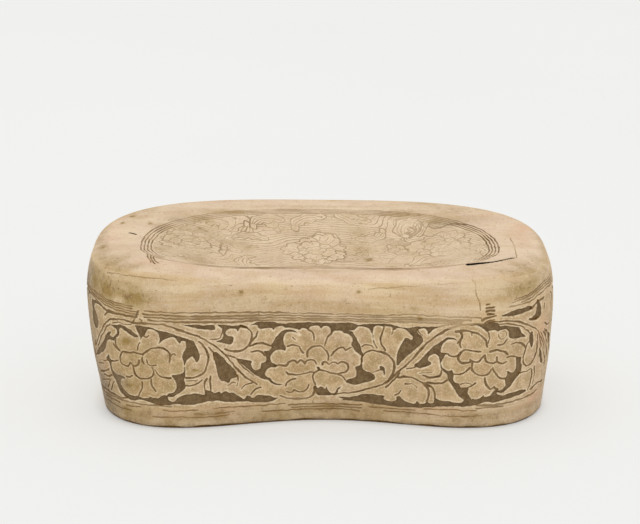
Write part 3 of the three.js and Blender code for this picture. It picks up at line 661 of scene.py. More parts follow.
def fan(x: float, y: float, aim: float, size: float, spread: float) -> list[Cut]:
    """A scalloped petal r = size (1 - 0.2 q^2) (1 + 0.12 |cos 3 pi q / 2|), q = -1..1 over the spread.

    Args:
        x: root, across.
        y: root, along.
        aim: heading in radians.
        size: length in mm.
        spread: half angle in radians.

    Returns:
        The outline and its combed veins.
    """
    q = np.linspace(-1, 1, 13)
    reach = size * (1 - 0.2 * q * q) * (1 + 0.12 * np.abs(np.cos(1.5 * np.pi * q)))
    ring = [(x, y)] + list(zip(x + reach * np.cos(aim + spread * q), y + reach * np.sin(aim + spread * q)))
    cuts = [Cut(Layer.SLIP, tuple(ring), PETAL_LINE)]
    for turn in (-0.45, 0.0, 0.45):
        way = (math.cos(aim + spread * turn), math.sin(aim + spread * turn))
        ends = tuple((x + size * r * way[0], y + size * r * way[1]) for r in (0.66, 0.78, 0.9))
        cuts.append(Cut(Layer.STROKE, ends, PETAL_VEIN))
    return cuts


def bloom(x: float, y: float, size: float) -> list[Cut]:
    """An open peony: rings of fans, the outer ones first, so that each hides what lies under it.

    Args:
        x: its middle, across.
        y: its middle, along.
        size: radius in mm.

    Returns:
        The cuts of all its fans.
    """
    cuts = []
    for ring, (share, count) in enumerate(BLOOM_RINGS):
        for k in range(count):
            aim = 2 * math.pi * (k + 0.5 * (ring % 2)) / count + 0.3
            wide = 1.0 + 0.12 * math.sin(3.0 * k + x)
            cuts.extend(fan(x, y, aim, size * share * wide, 3.9 / count))
    return cuts


def frond(x: float, y: float, aim: float, size: float, width: float, bend: float) -> list[Cut]:
    """A lobed leaf on a spine that turns by bend, with a midrib and a vein along each side.

    Args:
        x: root, across.
        y: root, along.
        aim: heading at the root in radians.
        size: length in mm.
        width: half width in mm.
        bend: turn of the spine in radians.

    Returns:
        The outline and its veins.
    """
    t = np.linspace(0, 1, 15)
    turn = aim + bend * t * t
    px = x + np.concatenate([[0.0], np.cumsum(np.cos(turn[1:]))]) * size / 14
    py = y + np.concatenate([[0.0], np.cumsum(np.sin(turn[1:]))]) * size / 14
    half = width * np.sin(np.pi * t ** 0.8) ** 0.8 * (1 + 0.22 * np.sin(7 * np.pi * t))
    left = list(zip(px - half * np.sin(turn), py + half * np.cos(turn)))
    right = list(zip(px + half * np.sin(turn), py - half * np.cos(turn)))
    cuts = [Cut(Layer.SLIP, tuple(left + right[::-1][1:-1]), PETAL_LINE)]
    for side, low, high in ((0.0, 1, 13), (0.5, 3, 12), (-0.5, 3, 12)):
        vx, vy = px - side * half * np.sin(turn), py + side * half * np.cos(turn)
        points = tuple(zip(vx[low:high:2], vy[low:high:2]))
        cuts.append(Cut(Layer.STROKE, points, 0.24 - 0.16 * abs(side)))
    return cuts


def panel_cuts() -> list[Cut]:
    """The headrest's scroll: a field of fronds that flow along the panel, and three blooms.

    Returns:
        The cuts in the order in which they hide one another.
    """
    rng = np.random.default_rng(12)
    cuts = []
    for row in range(5):
        for col in range(8):
            x = -104 + 28 * col + 14 * (row % 2) + rng.uniform(-4, 4)
            y = -54 + 26 * row + rng.uniform(-4, 4)
            bend = rng.choice((-1.0, 1.0)) * rng.uniform(1.0, 2.8)
            aim = rng.choice((0.0, math.pi)) + rng.uniform(-0.6, 0.6)
            cuts.extend(frond(x, y, aim, rng.uniform(26, 36), rng.uniform(4.0, 6.0), bend))
    for x, y, size in PANEL_BLOOMS:
        cuts.extend(bloom(x, y, size))
    return cuts


# Hooks and lone strokes of the panel, across and along.
PANEL_EXTRAS = (
    vein(-109.6, -40, -108.4, -52, -105, -66, width=0.24),
    vein(-107.4, -44, -105.6, -58, -102.6, -69, width=0.26),
    vein(-105.2, -48, -103.6, -60, -100.8, -67, width=0.22),
    vein(73, 40, 75, 37.2, 80, 37, 84, 40, 88, 41.4, 93, 41, 98, 40.2, width=0.9),
    vein(60, 40.4, 62.6, 37, 63, 33.6, 61, 30, 59.6, 27, width=0.5),
    vein(67.6, 46, 67.2, 41, 66.4, 36, 64, 31, 61.6, 28, width=0.5),
    vein(-66, 33, -61, 35.4, -57.4, 40, -56.6, 46, -59.4, 50, width=0.28),
    vein(-73, 36, -70.2, 41, -67.4, 38.3, -67.9, 34.2, width=0.28),
    vein(-102, 13, -102.6, 3.6, -100.3, 0.6, width=0.4),
    vein(-102, 14.9, -97.2, 19.7, -91.7, 20.5, -85.9, 20.1, -80, 16.9, width=0.3),
    vein(-72.7, 22.5, -69.3, 19.1, -65.6, 13.7, -64.8, 5.2, -66.6, -2.9, width=0.34),
    vein(-61.1, 11.2, -60.4, 2, -62.5, -10, width=0.26),
    vein(124.6, 12, 126, -8, 124.4, -44, width=0.14),
)
CRACK = (80, -61.4, 92, -61.1, 100, -60.6, 110, -57.4, 120.4, -48.5, 130, -40)  # across and along
NICK = ((-125, 16), (-121, 12))


def distance(u: Array, v: Array, line: Array, closed: bool) -> tuple[Array, Array]:
    """Distance from places to a polyline, and which places a closed one holds.

    Args:
        u: first coordinate in mm.
        v: second coordinate in mm.
        line: corners of the polyline, one row each.
        closed: whether the last corner joins the first.

    Returns:
        The distances, and the even-odd inside test.
    """
    ends = np.roll(line, -1, 0) if closed else line[1:]
    best = np.full(u.shape, 1e6)
    inside = np.zeros(u.shape, bool)
    for (ax, ay), (bx, by) in zip(line, ends):
        dx, dy = bx - ax, by - ay
        t = np.clip(((u - ax) * dx + (v - ay) * dy) / (dx * dx + dy * dy + 1e-9), 0, 1)
        best = np.minimum(best, (u - ax - t * dx) ** 2 + (v - ay - t * dy) ** 2)
        if closed:
            crosses = (ay > v) != (by > v)
            inside ^= crosses & (u < ax + (v - ay) * dx / (dy if abs(dy) > 1e-9 else 1e-9))
    return np.sqrt(best), inside


@dataclass
class Carving:
    """Signed distances in mm that the carver's cuts leave on a surface.

    u and v are the drawing's coordinates, slip the distance to where the slip is cut away, negative
    in the cut, broad a factor on the strokes' widths, and line the distance to incised lines.
    """

    u: Array
    v: Array
    slip: Array
    broad: Array
    line: Array = field(init=False)

    def __post_init__(self) -> None:
        """Starts with no incised line."""
        self.line = np.full(self.u.shape, FAR)

    def window(self, line: Array, reach: float) -> Optional[tuple[slice, slice]]:
        """Rows and columns that lie near a polyline.

        Args:
            line: its corners.
            reach: how near, in mm.

        Returns:
            Slices of the rows and the columns, or None.
        """
        low, high = line.min(0) - reach, line.max(0) + reach
        near = (self.u > low[0]) & (self.u < high[0]) & (self.v > low[1]) & (self.v < high[1])
        rows, cols = np.flatnonzero(near.any(1)), np.flatnonzero(near.any(0))
        if not rows.size:
            return None
        return slice(rows[0], rows[-1] + 1), slice(cols[0], cols[-1] + 1)

    def cut(self, shape: Cut, shift: float = 0.0) -> None:
        """Makes one cut: an outline hides what lies under it, a stroke only adds a line.

        Args:
            shape: the drawn cut.
            shift: how far along u it is moved.
        """
        line = shape.line() + np.array([shift, 0.0])
        part = self.window(line, REACH)
        if part is None:
            return
        away, inside = distance(self.u[part], self.v[part], line, shape.layer is not Layer.STROKE)
        width = shape.width * self.broad[part]
        if shape.layer is Layer.STROKE:
            self.line[part] = np.minimum(self.line[part], away - width)
            return
        signed = np.where(inside, away, -away)
        if shape.layer is Layer.GROUND:
            self.slip[part] = np.minimum(self.slip[part], -signed)
            return
        self.slip[part] = np.maximum(self.slip[part], signed)
        kept = np.where(inside, FAR, self.line[part])
        self.line[part] = np.minimum(kept, away - width)


def curve_at(s: Array, points: Sequence[float]) -> Array:
    """Height of a drawn edge, a Catmull-Rom curve through points.

    Args:
        s: places along it in mm.
        points: its points as flat coordinates, along and up.

    Returns:
        Heights in mm, or other values that are drawn as heights.
    """
    line = Cut(Layer.STROKE, pairs(points)).line()
    return np.interp(s, line[:, 0], line[:, 1])


def blobs(u: Array, v: Array, spots: Spots) -> Array:
    """Sum of soft spots, strength exp(-(du / ru)^2 - (dv / rv)^2).

    Args:
        u: first coordinate in mm.
        v: second coordinate in mm.
        spots: middle, radii and strength of each.

    Returns:
        The sum at each place.
    """
    total = np.zeros(u.shape)
    for a, b, ra, rb, strength in spots:
        total += strength * np.exp(-((u - a) / ra) ** 2 - ((v - b) / rb) ** 2)
    return total


# Upper edge of the frieze, as arc length and height.
TOP_EDGE = (-420, 83, -300, 84, -200, 82, -150, 79, -135, 75.5, -118, 74.5, -112, 68.5, -95, 67.5,
            -85, 70, -65, 69.5, -50, 68, -40, 69, -28, 67, -10, 64.5, 10, 64.5, 23, 65.5,
            35, 66.8, 60, 66.7, 80, 66.5, 100, 70.5, 110, 70.5, 112, 75.5, 125, 78, 135, 77,
            150, 80, 200, 82, 300, 84, 420, 83)
# How dark the shoulder's lines are along the arc.
COMB_INK = (-420, 0.75, -170, 0.75, -112, 0.74, -60, 0.68, -30, 0.7, 0, 0.6, 40, 0.55, 60, 0.45,
            90, 0.4, 100, 0.85, 108, 0.9, 115, 0.45, 130, 0.6, 150, 0.65, 200, 0.65, 420, 0.75)
# Lines combed round the shoulder.
COMBS = (
    vein(-108, 78.3, -90, 77.4, -75, 76.8, -60, 76.1, -40, 74.8, -20, 73.2, 0, 72.2, 20, 72.2,
         40, 72.8, 55, 74.6, 75, 74.6, 90, 74.6, 99, 74.2, width=0.3),
    vein(-109, 76.4, -90, 75.4, -75, 74.6, -60, 73.9, -50, 73.3, -40, 72.8, -20, 71.6, 0, 70.4,
         20, 70.8, 40, 71.5, 55, 72.5, 75, 72.6, 93, 72.7, width=0.42),
    vein(-108, 74.4, -90, 73.7, -75, 73, -60, 72.4, -50, 71.5, -40, 71.1, -20, 70, 0, 69, 20, 69.2,
         40, 69.9, 55, 71.2, 75, 71.6, 88, 71.8, width=0.42),
    vein(-106, 72.4, -90, 71.6, -75, 71, -60, 70.1, -50, 69.6, -40, 69.6, -20, 68.6, 0, 67.8,
         20, 67.9, 40, 68.5, 55, 69.6, 75, 70.2, 87, 70.5, width=0.42),
    vein(117, 79.8, 120, 79.9, 130, 80.6, 138, 81.6, 145, 83.5, 155, 84.6, 180, 85.5, 230, 87,
         320, 88, 411, 88.5, 500, 88, 600, 86.5, 640, 82, 658, 79.9, 668, 79.6, 675, 77.8, 683, 75,
         693, 74.3, 709, 73.9, width=0.4),
    vein(126, 81.6, 135, 83, 142, 84.8, 150, 86.2, 180, 87.2, 230, 88.8,
         320, 90.2, 411, 90.6, 500, 90.2, 600, 88.4, 640, 83.2, 658, 80.7, 668, 80.7, 678, 79,
         683, 77.6, 693, 76.5, 703, 75.8, 710, 75.3, width=0.34),
    vein(119, 82.2, 125, 83.2, 130, 83.8, 136, 84.8, 140, 85.8, 147, 87.4, 160, 88.2,
         180, 88.9, 230, 90.5, 320, 92, 411, 92.6, 500, 92, 600, 90, 640, 84.6, 663, 81.9, 673, 81,
         683, 79.3, 693, 78, 703, 77.2, 709, 77, width=0.32),
    vein(121, 83.9, 128, 84.8, 134, 85.6, 139, 86.6, 146, 88.6, 160, 89.8, 180, 90.6, 230, 92.2,
         320, 93.8, 411, 94.4, 500, 93.8, 600, 92, 640, 86, 663, 83.3, 673, 82.3, 678, 81.5,
         688, 80, 698, 79.2, 706, 78.6, width=0.28),
    vein(668, 83.7, 678, 82.7, 688, 81.2, 698, 80.7, 706, 80.2, width=0.24),
)
# Scratches and short strokes on shoulder and foot.
SCRATCHES = (
    vein(-140, 97.6, -132, 98.5, -123, 98.6, -116, 99, -109, 98.5, -102, 98.6, -97, 98.1, -90, 97.6,
         width=0.2),
    vein(30, 88.2, 38, 89.5, 44, 90, 52, 91.5, 60, 92.3, 68, 93.8, 76, 94.6, 84, 95.6, width=0.16),
    vein(96.6, 99, 97, 94, 96.6, 89, 98, 84.6, 98.6, 79, width=0.2),
    vein(-111.8, 77.6, -113, 75.4, -114.4, 73.4, width=0.55),
    vein(-115.2, 72.2, -116, 70.4, width=0.4),
    vein(-111.4, 72.6, -110, 71.4, width=0.34),
    vein(102.6, 82.4, 104.6, 82.7, width=0.24),
    vein(102.4, 80.2, 104.6, 80.6, 107, 80.5, width=0.5),
    vein(102.4, 78.2, 104.6, 78.6, 107.2, 78.3, width=0.55),
    vein(103, 76.4, 105, 76.5, 107.2, 76.3, width=0.5),
    vein(99.6, 72.8, 102, 73.9, 105, 74.6, 108.4, 75, width=0.5),
    vein(101, 70.6, 104, 72.2, 107.6, 72.6, width=0.3),
    vein(-22, 11.4, -5, 11.6, 15, 11.3, 25, 11.5, width=0.3),
    vein(-20, 9.6, 0, 9.8, 25, 9.5, width=0.28),
    vein(30, 10.6, 44, 10.4, 60, 10.8, width=0.2),
    vein(-168, 17, -158, 17.9, -150, 17.5, -142, 17, -136, 16.7, -129, 17.8, width=0.66),
    vein(-168, 14.8, -150, 15.3, -130, 15.2, -112, 15.5, -98, 15.2, width=0.34),
    vein(-156, 13.2, -146, 13.4, -138, 12.8, width=0.5),
    vein(-131, 12.4, -125, 12.8, -119, 13.6, width=0.36),
    vein(-166, 9.4, -150, 10.2, -140, 9.4, -128, 9.6, width=0.26),
    vein(-112, 7.4, -96, 7.8, -80, 7.2, -62, 7.6, width=0.2),
    vein(-70, 13.2, -54, 12.8, -36, 12.4, -24, 12.8, width=0.26),
    vein(-40, 8.2, -20, 7.8, 4, 8.1, 24, 7.6, width=0.26),
    vein(40, 8.4, 60, 8.8, 84, 8.2, 104, 8.6, width=0.2),
    vein(66, 12, 84, 12.6, 100, 12.2, width=0.2),
    vein(100, 16, 110, 15.4, 120, 15.8, 135, 16.6, 150, 18, width=0.42),
    vein(100, 13.8, 108, 14.2, 118, 14, width=0.3),
    vein(-84, 9.6, -70, 9.2, -58, 9.8, width=0.2),
    vein(-104, 12.4, -94, 12, -82, 12.6, width=0.2),
)
FRONT = (LEFT_BAY, LEFT_SPRAY, MIDDLE_BAY, RIGHT_SPRAY, RIGHT_BAY)
FRONT_START, FRONT_END = -112.0, 104.0


@dataclass(frozen=True)
class Lattice:
    """Shared columns round the pillow, so that wall, roll and dish meet point to point."""

    side: int = 416
    corners: tuple[float, ...] = (-0.62, 0.62, 1.38, 2.62, 3.38)

    def columns(self) -> tuple[Array, Array]:
        """The 4 x side + 1 columns, even in length on each side.

        Returns:
            Their turns and their arc lengths in mm.
        """
        turn, arc = FORM.arc_table()
        turn, arc = np.concatenate([turn[:-1] - 4, turn]), np.concatenate([arc[:-1] - arc[-1], arc])
        ends = np.interp(self.corners, turn, arc)
        share = np.arange(self.side) / self.side
        s = np.concatenate([a + (b - a) * share for a, b in zip(ends, ends[1:])] + [ends[-1:]])
        return np.interp(s, arc, turn), s

    def disc(self) -> tuple[Array, Array]:
        """A square net a, b = -1..1 folded on the disc.

        Returns:
            The turn that each point belongs to, and 1 - max(|a|, |b|), its share from edge to middle.
        """
        a = np.linspace(-1, 1, self.side + 1)
        a, b = np.meshgrid(a, a, indexing="xy")
        m = np.maximum(np.abs(a), np.abs(b))
        size = np.where(m > 0, m, 1)
        place = np.select(
            [b <= -m, a >= m, b >= m],
            [(a / size + 1) / 2, 1 + (b / size + 1) / 2, 2 + (1 - a / size) / 2],
            3 + (1 - b / size) / 2,
        )
        turn = np.interp(place * self.side, np.arange(4 * self.side + 1), self.columns()[0])
        return turn, 1 - m


LATTICE = Lattice()


def net(name: str, at: Array, fields: dict[str, Array], finish: Any, flip: bool = False) -> Any:
    """Mesh object over a grid of points, with one float attribute for each field.

    Args:
        name: name of the piece.
        at: points in mm, rows x columns x 3.
        fields: values on the same grid.
        finish: the material.
        flip: turn the faces over.

    Returns:
        The object, at the origin.
    """
    rows, cols = at.shape[:2]
    index = np.arange(rows * cols).reshape(rows, cols)
    quads = np.stack([index[:-1, :-1], index[:-1, 1:], index[1:, 1:], index[1:, :-1]], -1)
    quads = quads.reshape(-1, 4)[:, ::-1] if flip else quads.reshape(-1, 4)
    mesh = bpy.data.meshes.new(name)
    mesh.vertices.add(rows * cols)
    mesh.vertices.foreach_set("co", (at * MM).astype(np.float32).ravel())
    mesh.loops.add(quads.size)
    mesh.loops.foreach_set("vertex_index", quads.astype(np.int32).ravel())
    mesh.polygons.add(len(quads))
    mesh.polygons.foreach_set("loop_start", np.arange(0, quads.size, 4, dtype=np.int32))
    mesh.update(calc_edges=True)
    mesh.polygons.foreach_set("use_smooth", np.ones(len(quads), bool))
    for key, values in fields.items():
        layer = mesh.attributes.new(key, "FLOAT", "POINT")
        layer.data.foreach_set("value", values.astype(np.float32).ravel())
    mesh.materials.append(finish)
    obj = bpy.data.objects.new(name, mesh)
    bpy.context.scene.collection.objects.link(obj)
    return obj


def srgb(red: float, green: float, blue: float) -> tuple[float, float, float, float]:
    """Linear colour of a display one.

    Args:
        red: red, 0..255.
        green: green, 0..255.
        blue: blue, 0..255.

    Returns:
        Red, green, blue and a full alpha, 0..1.
    """
    parts = np.array([red, green, blue]) / 255
    line = np.where(parts <= 0.04045, parts / 12.92, ((parts + 0.055) / 1.055) ** 2.4)
    return (float(line[0]), float(line[1]), float(line[2]), 1.0)


class Wire:
    """A shader socket that arithmetic can be written with."""

    def __init__(self, graph: "Graph", socket: Any) -> None:
        """Keeps the socket and the graph that it is in."""
        self.graph, self.socket = graph, socket

    def sum(self, kind: str, *others: Any) -> "Wire":
        """A Math node of this socket and others.

        Args:
            kind: its operation.
            others: wires or values.

        Returns:
            Its output.
        """
        sockets = dict(enumerate((self,) + others))
        return self.graph.node("ShaderNodeMath", {"operation": kind}, sockets)

    def __add__(self, other: Any) -> "Wire":
        """The sum."""
        return self.sum("ADD", other)

    def __sub__(self, other: Any) -> "Wire":
        """The difference."""
        return self.sum("SUBTRACT", other)

    def __mul__(self, other: Any) -> "Wire":
        """The product."""
        return self.sum("MULTIPLY", other)

    def __neg__(self) -> "Wire":
        """The opposite."""
        return self.sum("MULTIPLY", -1.0)

    def __rsub__(self, other: Any) -> "Wire":
        """What is left of a value."""
        return (-self) + other

    __radd__ = __add__
    __rmul__ = __mul__

    def ease(self, low: float, high: float, start: float = 0.0, end: float = 1.0) -> "Wire":
        """Smooth step.

        Args:
            low: where it starts.
            high: where it ends.
            start: its value at low.
            end: its value at high.

        Returns:
            The stepped value.
        """
        return self.graph.node(
            "ShaderNodeMapRange", {"interpolation_type": "SMOOTHSTEP"},
            {0: self, 1: low, 2: high, 3: start, 4: end},
        )

    def above(self, other: Any) -> "Wire":
        """The larger of the two."""
        return self.sum("MAXIMUM", other)


class Graph:
    """One material's nodes."""

    def __init__(self, name: str) -> None:
        """Starts a material with a Principled shader."""
        self.material = bpy.data.materials.new(name)
        self.material.use_nodes = True
        self.tree = self.material.node_tree
        self.shader = self.tree.nodes["Principled BSDF"]
        coordinates = self.tree.nodes.new("ShaderNodeTexCoord")
        self.place = Wire(self, coordinates.outputs["Object"])

    def node(self, kind: str, settings: dict[str, Any], sockets: dict[Any, Any], out: Any = 0) -> Wire:
        """A node of a type, with its settings and its sockets filled from wires or values.

        Args:
            kind: node type.
            settings: node properties.
            sockets: inputs by index or name.
            out: output to hand back.

        Returns:
            The output as a wire.
        """
        made = self.tree.nodes.new(kind)
        for key, value in settings.items():
            setattr(made, key, value)
        for key, value in sockets.items():
            if isinstance(value, Wire):
                self.tree.links.new(value.socket, made.inputs[key])
            else:
                made.inputs[key].default_value = value
        return Wire(self, made.outputs[out])

    def field(self, name: str) -> Wire:
        """A float attribute of the piece."""
        return self.node("ShaderNodeAttribute", {"attribute_name": name}, {}, "Fac")

    def noise(self, size: float, detail: float = 2.0, rough: float = 0.55, stretch: Any = None) -> Wire:
        """Noise about 0.5 on the object's own coordinates.

        Args:
            size: size of its features in mm.
            detail: octaves.
            rough: share that each octave keeps of the one before.
            stretch: factors on x, y and z, if any.

        Returns:
            The noise.
        """
        place = self.place
        if stretch:
            place = self.node("ShaderNodeVectorMath", {"operation": "MULTIPLY"}, {0: place, 1: stretch})
        return self.node(
            "ShaderNodeTexNoise", {},
            {"Vector": place, "Scale": 1000.0 / size, "Detail": detail, "Roughness": rough},
        )

    def blend(self, share: Any, first: Any, second: Any) -> Wire:
        """Mix of two colours, at the node's sockets 6 and 7 and its output 2.

        Args:
            share: share of the second, a wire or a value.
            first: colour or wire.
            second: colour or wire.

        Returns:
            The colour.
        """
        return self.node(
            "ShaderNodeMix", {"data_type": "RGBA", "blend_type": "MIX", "clamp_factor": True},
            {0: share, 6: first, 7: second}, 2,
        )

    def finish(self, colour: Wire, rough: Any, relief: Wire, height: float) -> Any:
        """Feeds colour, roughness and bump to the shader.

        Args:
            colour: base colour.
            rough: roughness, a wire or a value.
            relief: height in the unit that height scales.
            height: metres for one unit of relief.

        Returns:
            The material.
        """
        links, inputs = self.tree.links, self.shader.inputs
        inputs["Specular IOR Level"].default_value = 0.1
        links.new(colour.socket, inputs["Base Color"])
        if isinstance(rough, Wire):
            links.new(rough.socket, inputs["Roughness"])
        else:
            inputs["Roughness"].default_value = rough
        bump = self.node("ShaderNodeBump", {}, {"Strength": 1.0, "Distance": height, "Height": relief})
        links.new(bump.socket, inputs["Normal"])
        return self.material


@dataclass(frozen=True)
class Grain:
    """The noises that the carved finish shares, from broad clouds to dust."""

    cloud: Wire
    patch: Wire
    mottle: Wire
    grit: Wire
    fleck: Wire
    dust: Wire
    brush: Wire

    @classmethod
    def of(cls, g: Graph) -> "Grain":
        """Makes them in a material.

        Args:
            g: the material's nodes.

        Returns:
            The noises, brush being drawn out along the pillow.
        """
        return cls(
            cloud=g.noise(46.0, 4.0, 0.6),
            patch=g.noise(11.0, 5.0, 0.66),
            mottle=g.noise(5.6, 3.0, 0.6),
            grit=g.noise(3.4, 5.0, 0.72),
            fleck=g.noise(1.7, 2.0, 0.6),
            dust=g.noise(0.9, 1.0, 0.5),
            brush=g.noise(7.0, 4.0, 0.6, (0.12, 0.3, 1.6)),
        )


@dataclass(frozen=True)
class CarvedFinish:
    """Buff slip over grey-brown clay, cut through where the carving goes; bump in metres."""

    bump: float = 0.00028
    # top is the headrest's slip and side the wall's, which is yellower; the top's extra lightness is
    # partly painted light falling from above.
    top: tuple[float, ...] = srgb(226, 201, 172)
    side: tuple[float, ...] = srgb(218, 192, 152)
    pink: tuple[float, ...] = srgb(214, 186, 162)
    blush: tuple[float, ...] = srgb(224, 182, 148)
    ochre: tuple[float, ...] = srgb(200, 168, 120)
    petal: tuple[float, ...] = srgb(196, 166, 122)
    tan: tuple[float, ...] = srgb(172, 138, 95)
    # rim: pale cream, for random pale streaks and flecks, and for the painted highlight beside incised
    # lines and cut edges.
    rim: tuple[float, ...] = srgb(242, 222, 188)
    olive: tuple[float, ...] = srgb(160, 137, 88)
    clay: tuple[float, ...] = srgb(128, 106, 76)
    clay_deep: tuple[float, ...] = srgb(108, 86, 58)
    ink: tuple[float, ...] = srgb(68, 44, 12)
    halo: tuple[float, ...] = srgb(158, 118, 56)
    stain: tuple[float, ...] = srgb(160, 132, 77)
    spot: tuple[float, ...] = srgb(118, 92, 58)
    # soot: grey-brown of grime, and of painted shade at the wall's left end and its bottom edge.
    soot_and_shade: tuple[float, ...] = srgb(128, 112, 92)
    haze: tuple[float, ...] = srgb(158, 140, 114)
    # hole: near-black painted shade inside the vent, the crack's gap and the nick.
    hole: tuple[float, ...] = srgb(26, 20, 14)

    def material(self) -> Any:
        """The finish as a material that reads the fields that the pieces carry."""
        g = Graph("carved_slip")
        n = Grain.of(g)
        edge, line, hole = g.field("edge"), g.field("line"), g.field("hole")
        colour = g.blend(edge.ease(-0.2, 0.12), self.ground(g, n, edge), self.slip(g, n, edge, line))
        faint = n.fleck.ease(0.36, 0.56, 1.0, 0.72) * n.patch.ease(0.36, 0.6, 1.0, 0.75)
        colour = g.blend(line.ease(-0.1, 0.58, 0.75, 0.0) * g.field("ink"), colour, self.halo)
        colour = g.blend(line.ease(-0.12, 0.24, 1.0, 0.0) * g.field("ink") * faint, colour, self.ink)
        # Near-black painted shade in the vent, the crack and the nick.
        colour = g.blend(hole.ease(-0.1, 0.25, 1.0, 0.0), colour, self.hole)
        rough = edge.ease(-0.2, 0.2, 0.84, 0.58) + 0.2 * (n.patch - 0.5)
        relief = n.grit * 0.6 + n.patch * 0.8 + n.dust * 0.25 - 0.6 * line.ease(-0.2, 0.3, 1.0, 0.0)
        return g.finish(colour, rough, relief, self.bump)

    def slip(self, g: Graph, n: Grain, edge: Wire, line: Wire) -> Wire:
        """The slip's colour: plain, carved with painted highlights, then stains, grime and painted shade.

        Args:
            g: the material's nodes.
            n: its noises.
            edge: distance to where the slip ends.
            line: distance to incised lines.

        Returns:
            The colour.
        """
        carved, side, stain = g.field("carved"), g.field("side"), g.field("stain")
        # Wall and rim band take the yellower side slip and the top the lighter top slip, whose extra
        # lightness is partly painted light from above.
        slip = g.blend(side, self.top, self.side)
        slip = g.blend(n.cloud.ease(0.4, 0.64) * 0.5, slip, self.pink)
        slip = g.blend(n.patch.ease(0.48, 0.68) * side.ease(0, 1, 0.26, 0.4), slip, self.ochre)
        slip = g.blend(n.brush.ease(0.5, 0.6) * side.ease(0, 1, 0.26, 0.42), slip, self.ochre)
        slip = g.blend(n.brush.ease(0.5, 0.4) * 0.3, slip, self.rim)
        slip = g.blend(carved * n.grit.ease(0.3, 0.62, 1.0, 0.65), slip, self.petals(g, n))
        # Painted highlight: a pale band beside the lines and the slip's edges, partly the slip's creamier
        # edge and partly light caught by the raised edge.
        near = line.ease(0.25, 1.2, 1.0, 0.0).above(edge.ease(0.15, 1.6, 1.0, 0.0))
        slip = g.blend(near * g.field("pale_edge_and_highlight") * n.grit.ease(0.4, 0.6, 0.95, 0.35), slip, self.rim)
        slip = g.blend(g.field("blush") * n.patch.ease(0.36, 0.6, 0.35, 1.0), slip, self.blush)
        slip = g.blend(stain * n.patch.ease(0.3, 0.66, 0.45, 1.0), slip, self.stain)
        slip = g.blend(stain * n.grit.ease(0.52, 0.64) * 0.6, slip, self.spot)
        # Grey-brown grime, and painted shade where the wall's left end turns from the light and along the
        # bottom edge.
        slip = g.blend(g.field("grime_and_shade") * n.grit.ease(0.36, 0.6, 0.45, 1.0), slip, self.soot_and_shade)
        slip = g.blend(n.grit.ease(0.58, 0.7) * 0.4, slip, self.tan)
        slip = g.blend(n.fleck.ease(0.66, 0.74) * 0.6, slip, self.spot)
        slip = g.blend(n.dust.ease(0.58, 0.7) * 0.28, slip, self.tan)
        return g.blend(n.dust.ease(0.42, 0.3) * 0.25, slip, self.rim)

    def petals(self, g: Graph, n: Grain) -> Wire:
        """The darker, mottled slip of what the carver left standing.

        Args:
            g: the material's nodes.
            n: its noises.

        Returns:
            The colour.
        """
        inner = g.blend(n.patch.ease(0.4, 0.62), self.petal, self.tan)
        inner = g.blend(n.cloud.ease(0.5, 0.6) * 0.4, inner, self.pink)
        inner = g.blend(n.mottle.ease(0.48, 0.58) * 0.66, inner, self.olive)
        inner = g.blend(n.mottle.ease(0.46, 0.38) * 0.45, inner, self.side)
        inner = g.blend(n.grit.ease(0.5, 0.42) * 0.42, inner, self.side)
        inner = g.blend(n.fleck.ease(0.53, 0.62) * 0.4, inner, self.tan)
        return g.blend(n.dust.ease(0.47, 0.38) * 0.2, inner, self.rim)

    def ground(self, g: Graph, n: Grain, edge: Wire) -> Wire:
        """The bare clay in the cut-away ground, darker next to the slip's cut edges.

        Args:
            g: the material's nodes.
            n: its noises.
            edge: distance to where the slip ends.

        Returns:
            The colour.
        """
        clay = g.blend(n.grit.ease(0.4, 0.58), self.clay_deep, self.clay)
        clay = g.blend(edge.ease(-1.1, -0.3) * 0.5, clay, self.clay_deep)
        clay = g.blend(n.dust.ease(0.56, 0.7) * 0.2, clay, self.petal)
        # Where grime and painted shade lie, the cut ground turns greyer.
        return g.blend(g.field("grime_and_shade") * 0.5, clay, self.haze)


@dataclass(frozen=True)
class ClayFinish:
    """Bare grey-buff stoneware of the faces without slip; bump in metres."""

    rough: float = 0.85
    bump: float = 0.0003
    body: tuple[float, ...] = srgb(178, 154, 122)
    burnt: tuple[float, ...] = srgb(132, 108, 80)

    def material(self) -> Any:
        """The finish as a material with sand grain and kiln patches."""
        g = Graph("bare_clay")
        patch, grain = g.noise(24.0, 4.0), g.noise(1.3, 3.0, 0.7)
        colour = g.blend(patch.ease(0.4, 0.68), self.body, self.burnt)
        colour = g.blend(grain.ease(0.58, 0.75) * 0.5, colour, self.burnt)
        return g.finish(colour, self.rough, grain + patch, self.bump)


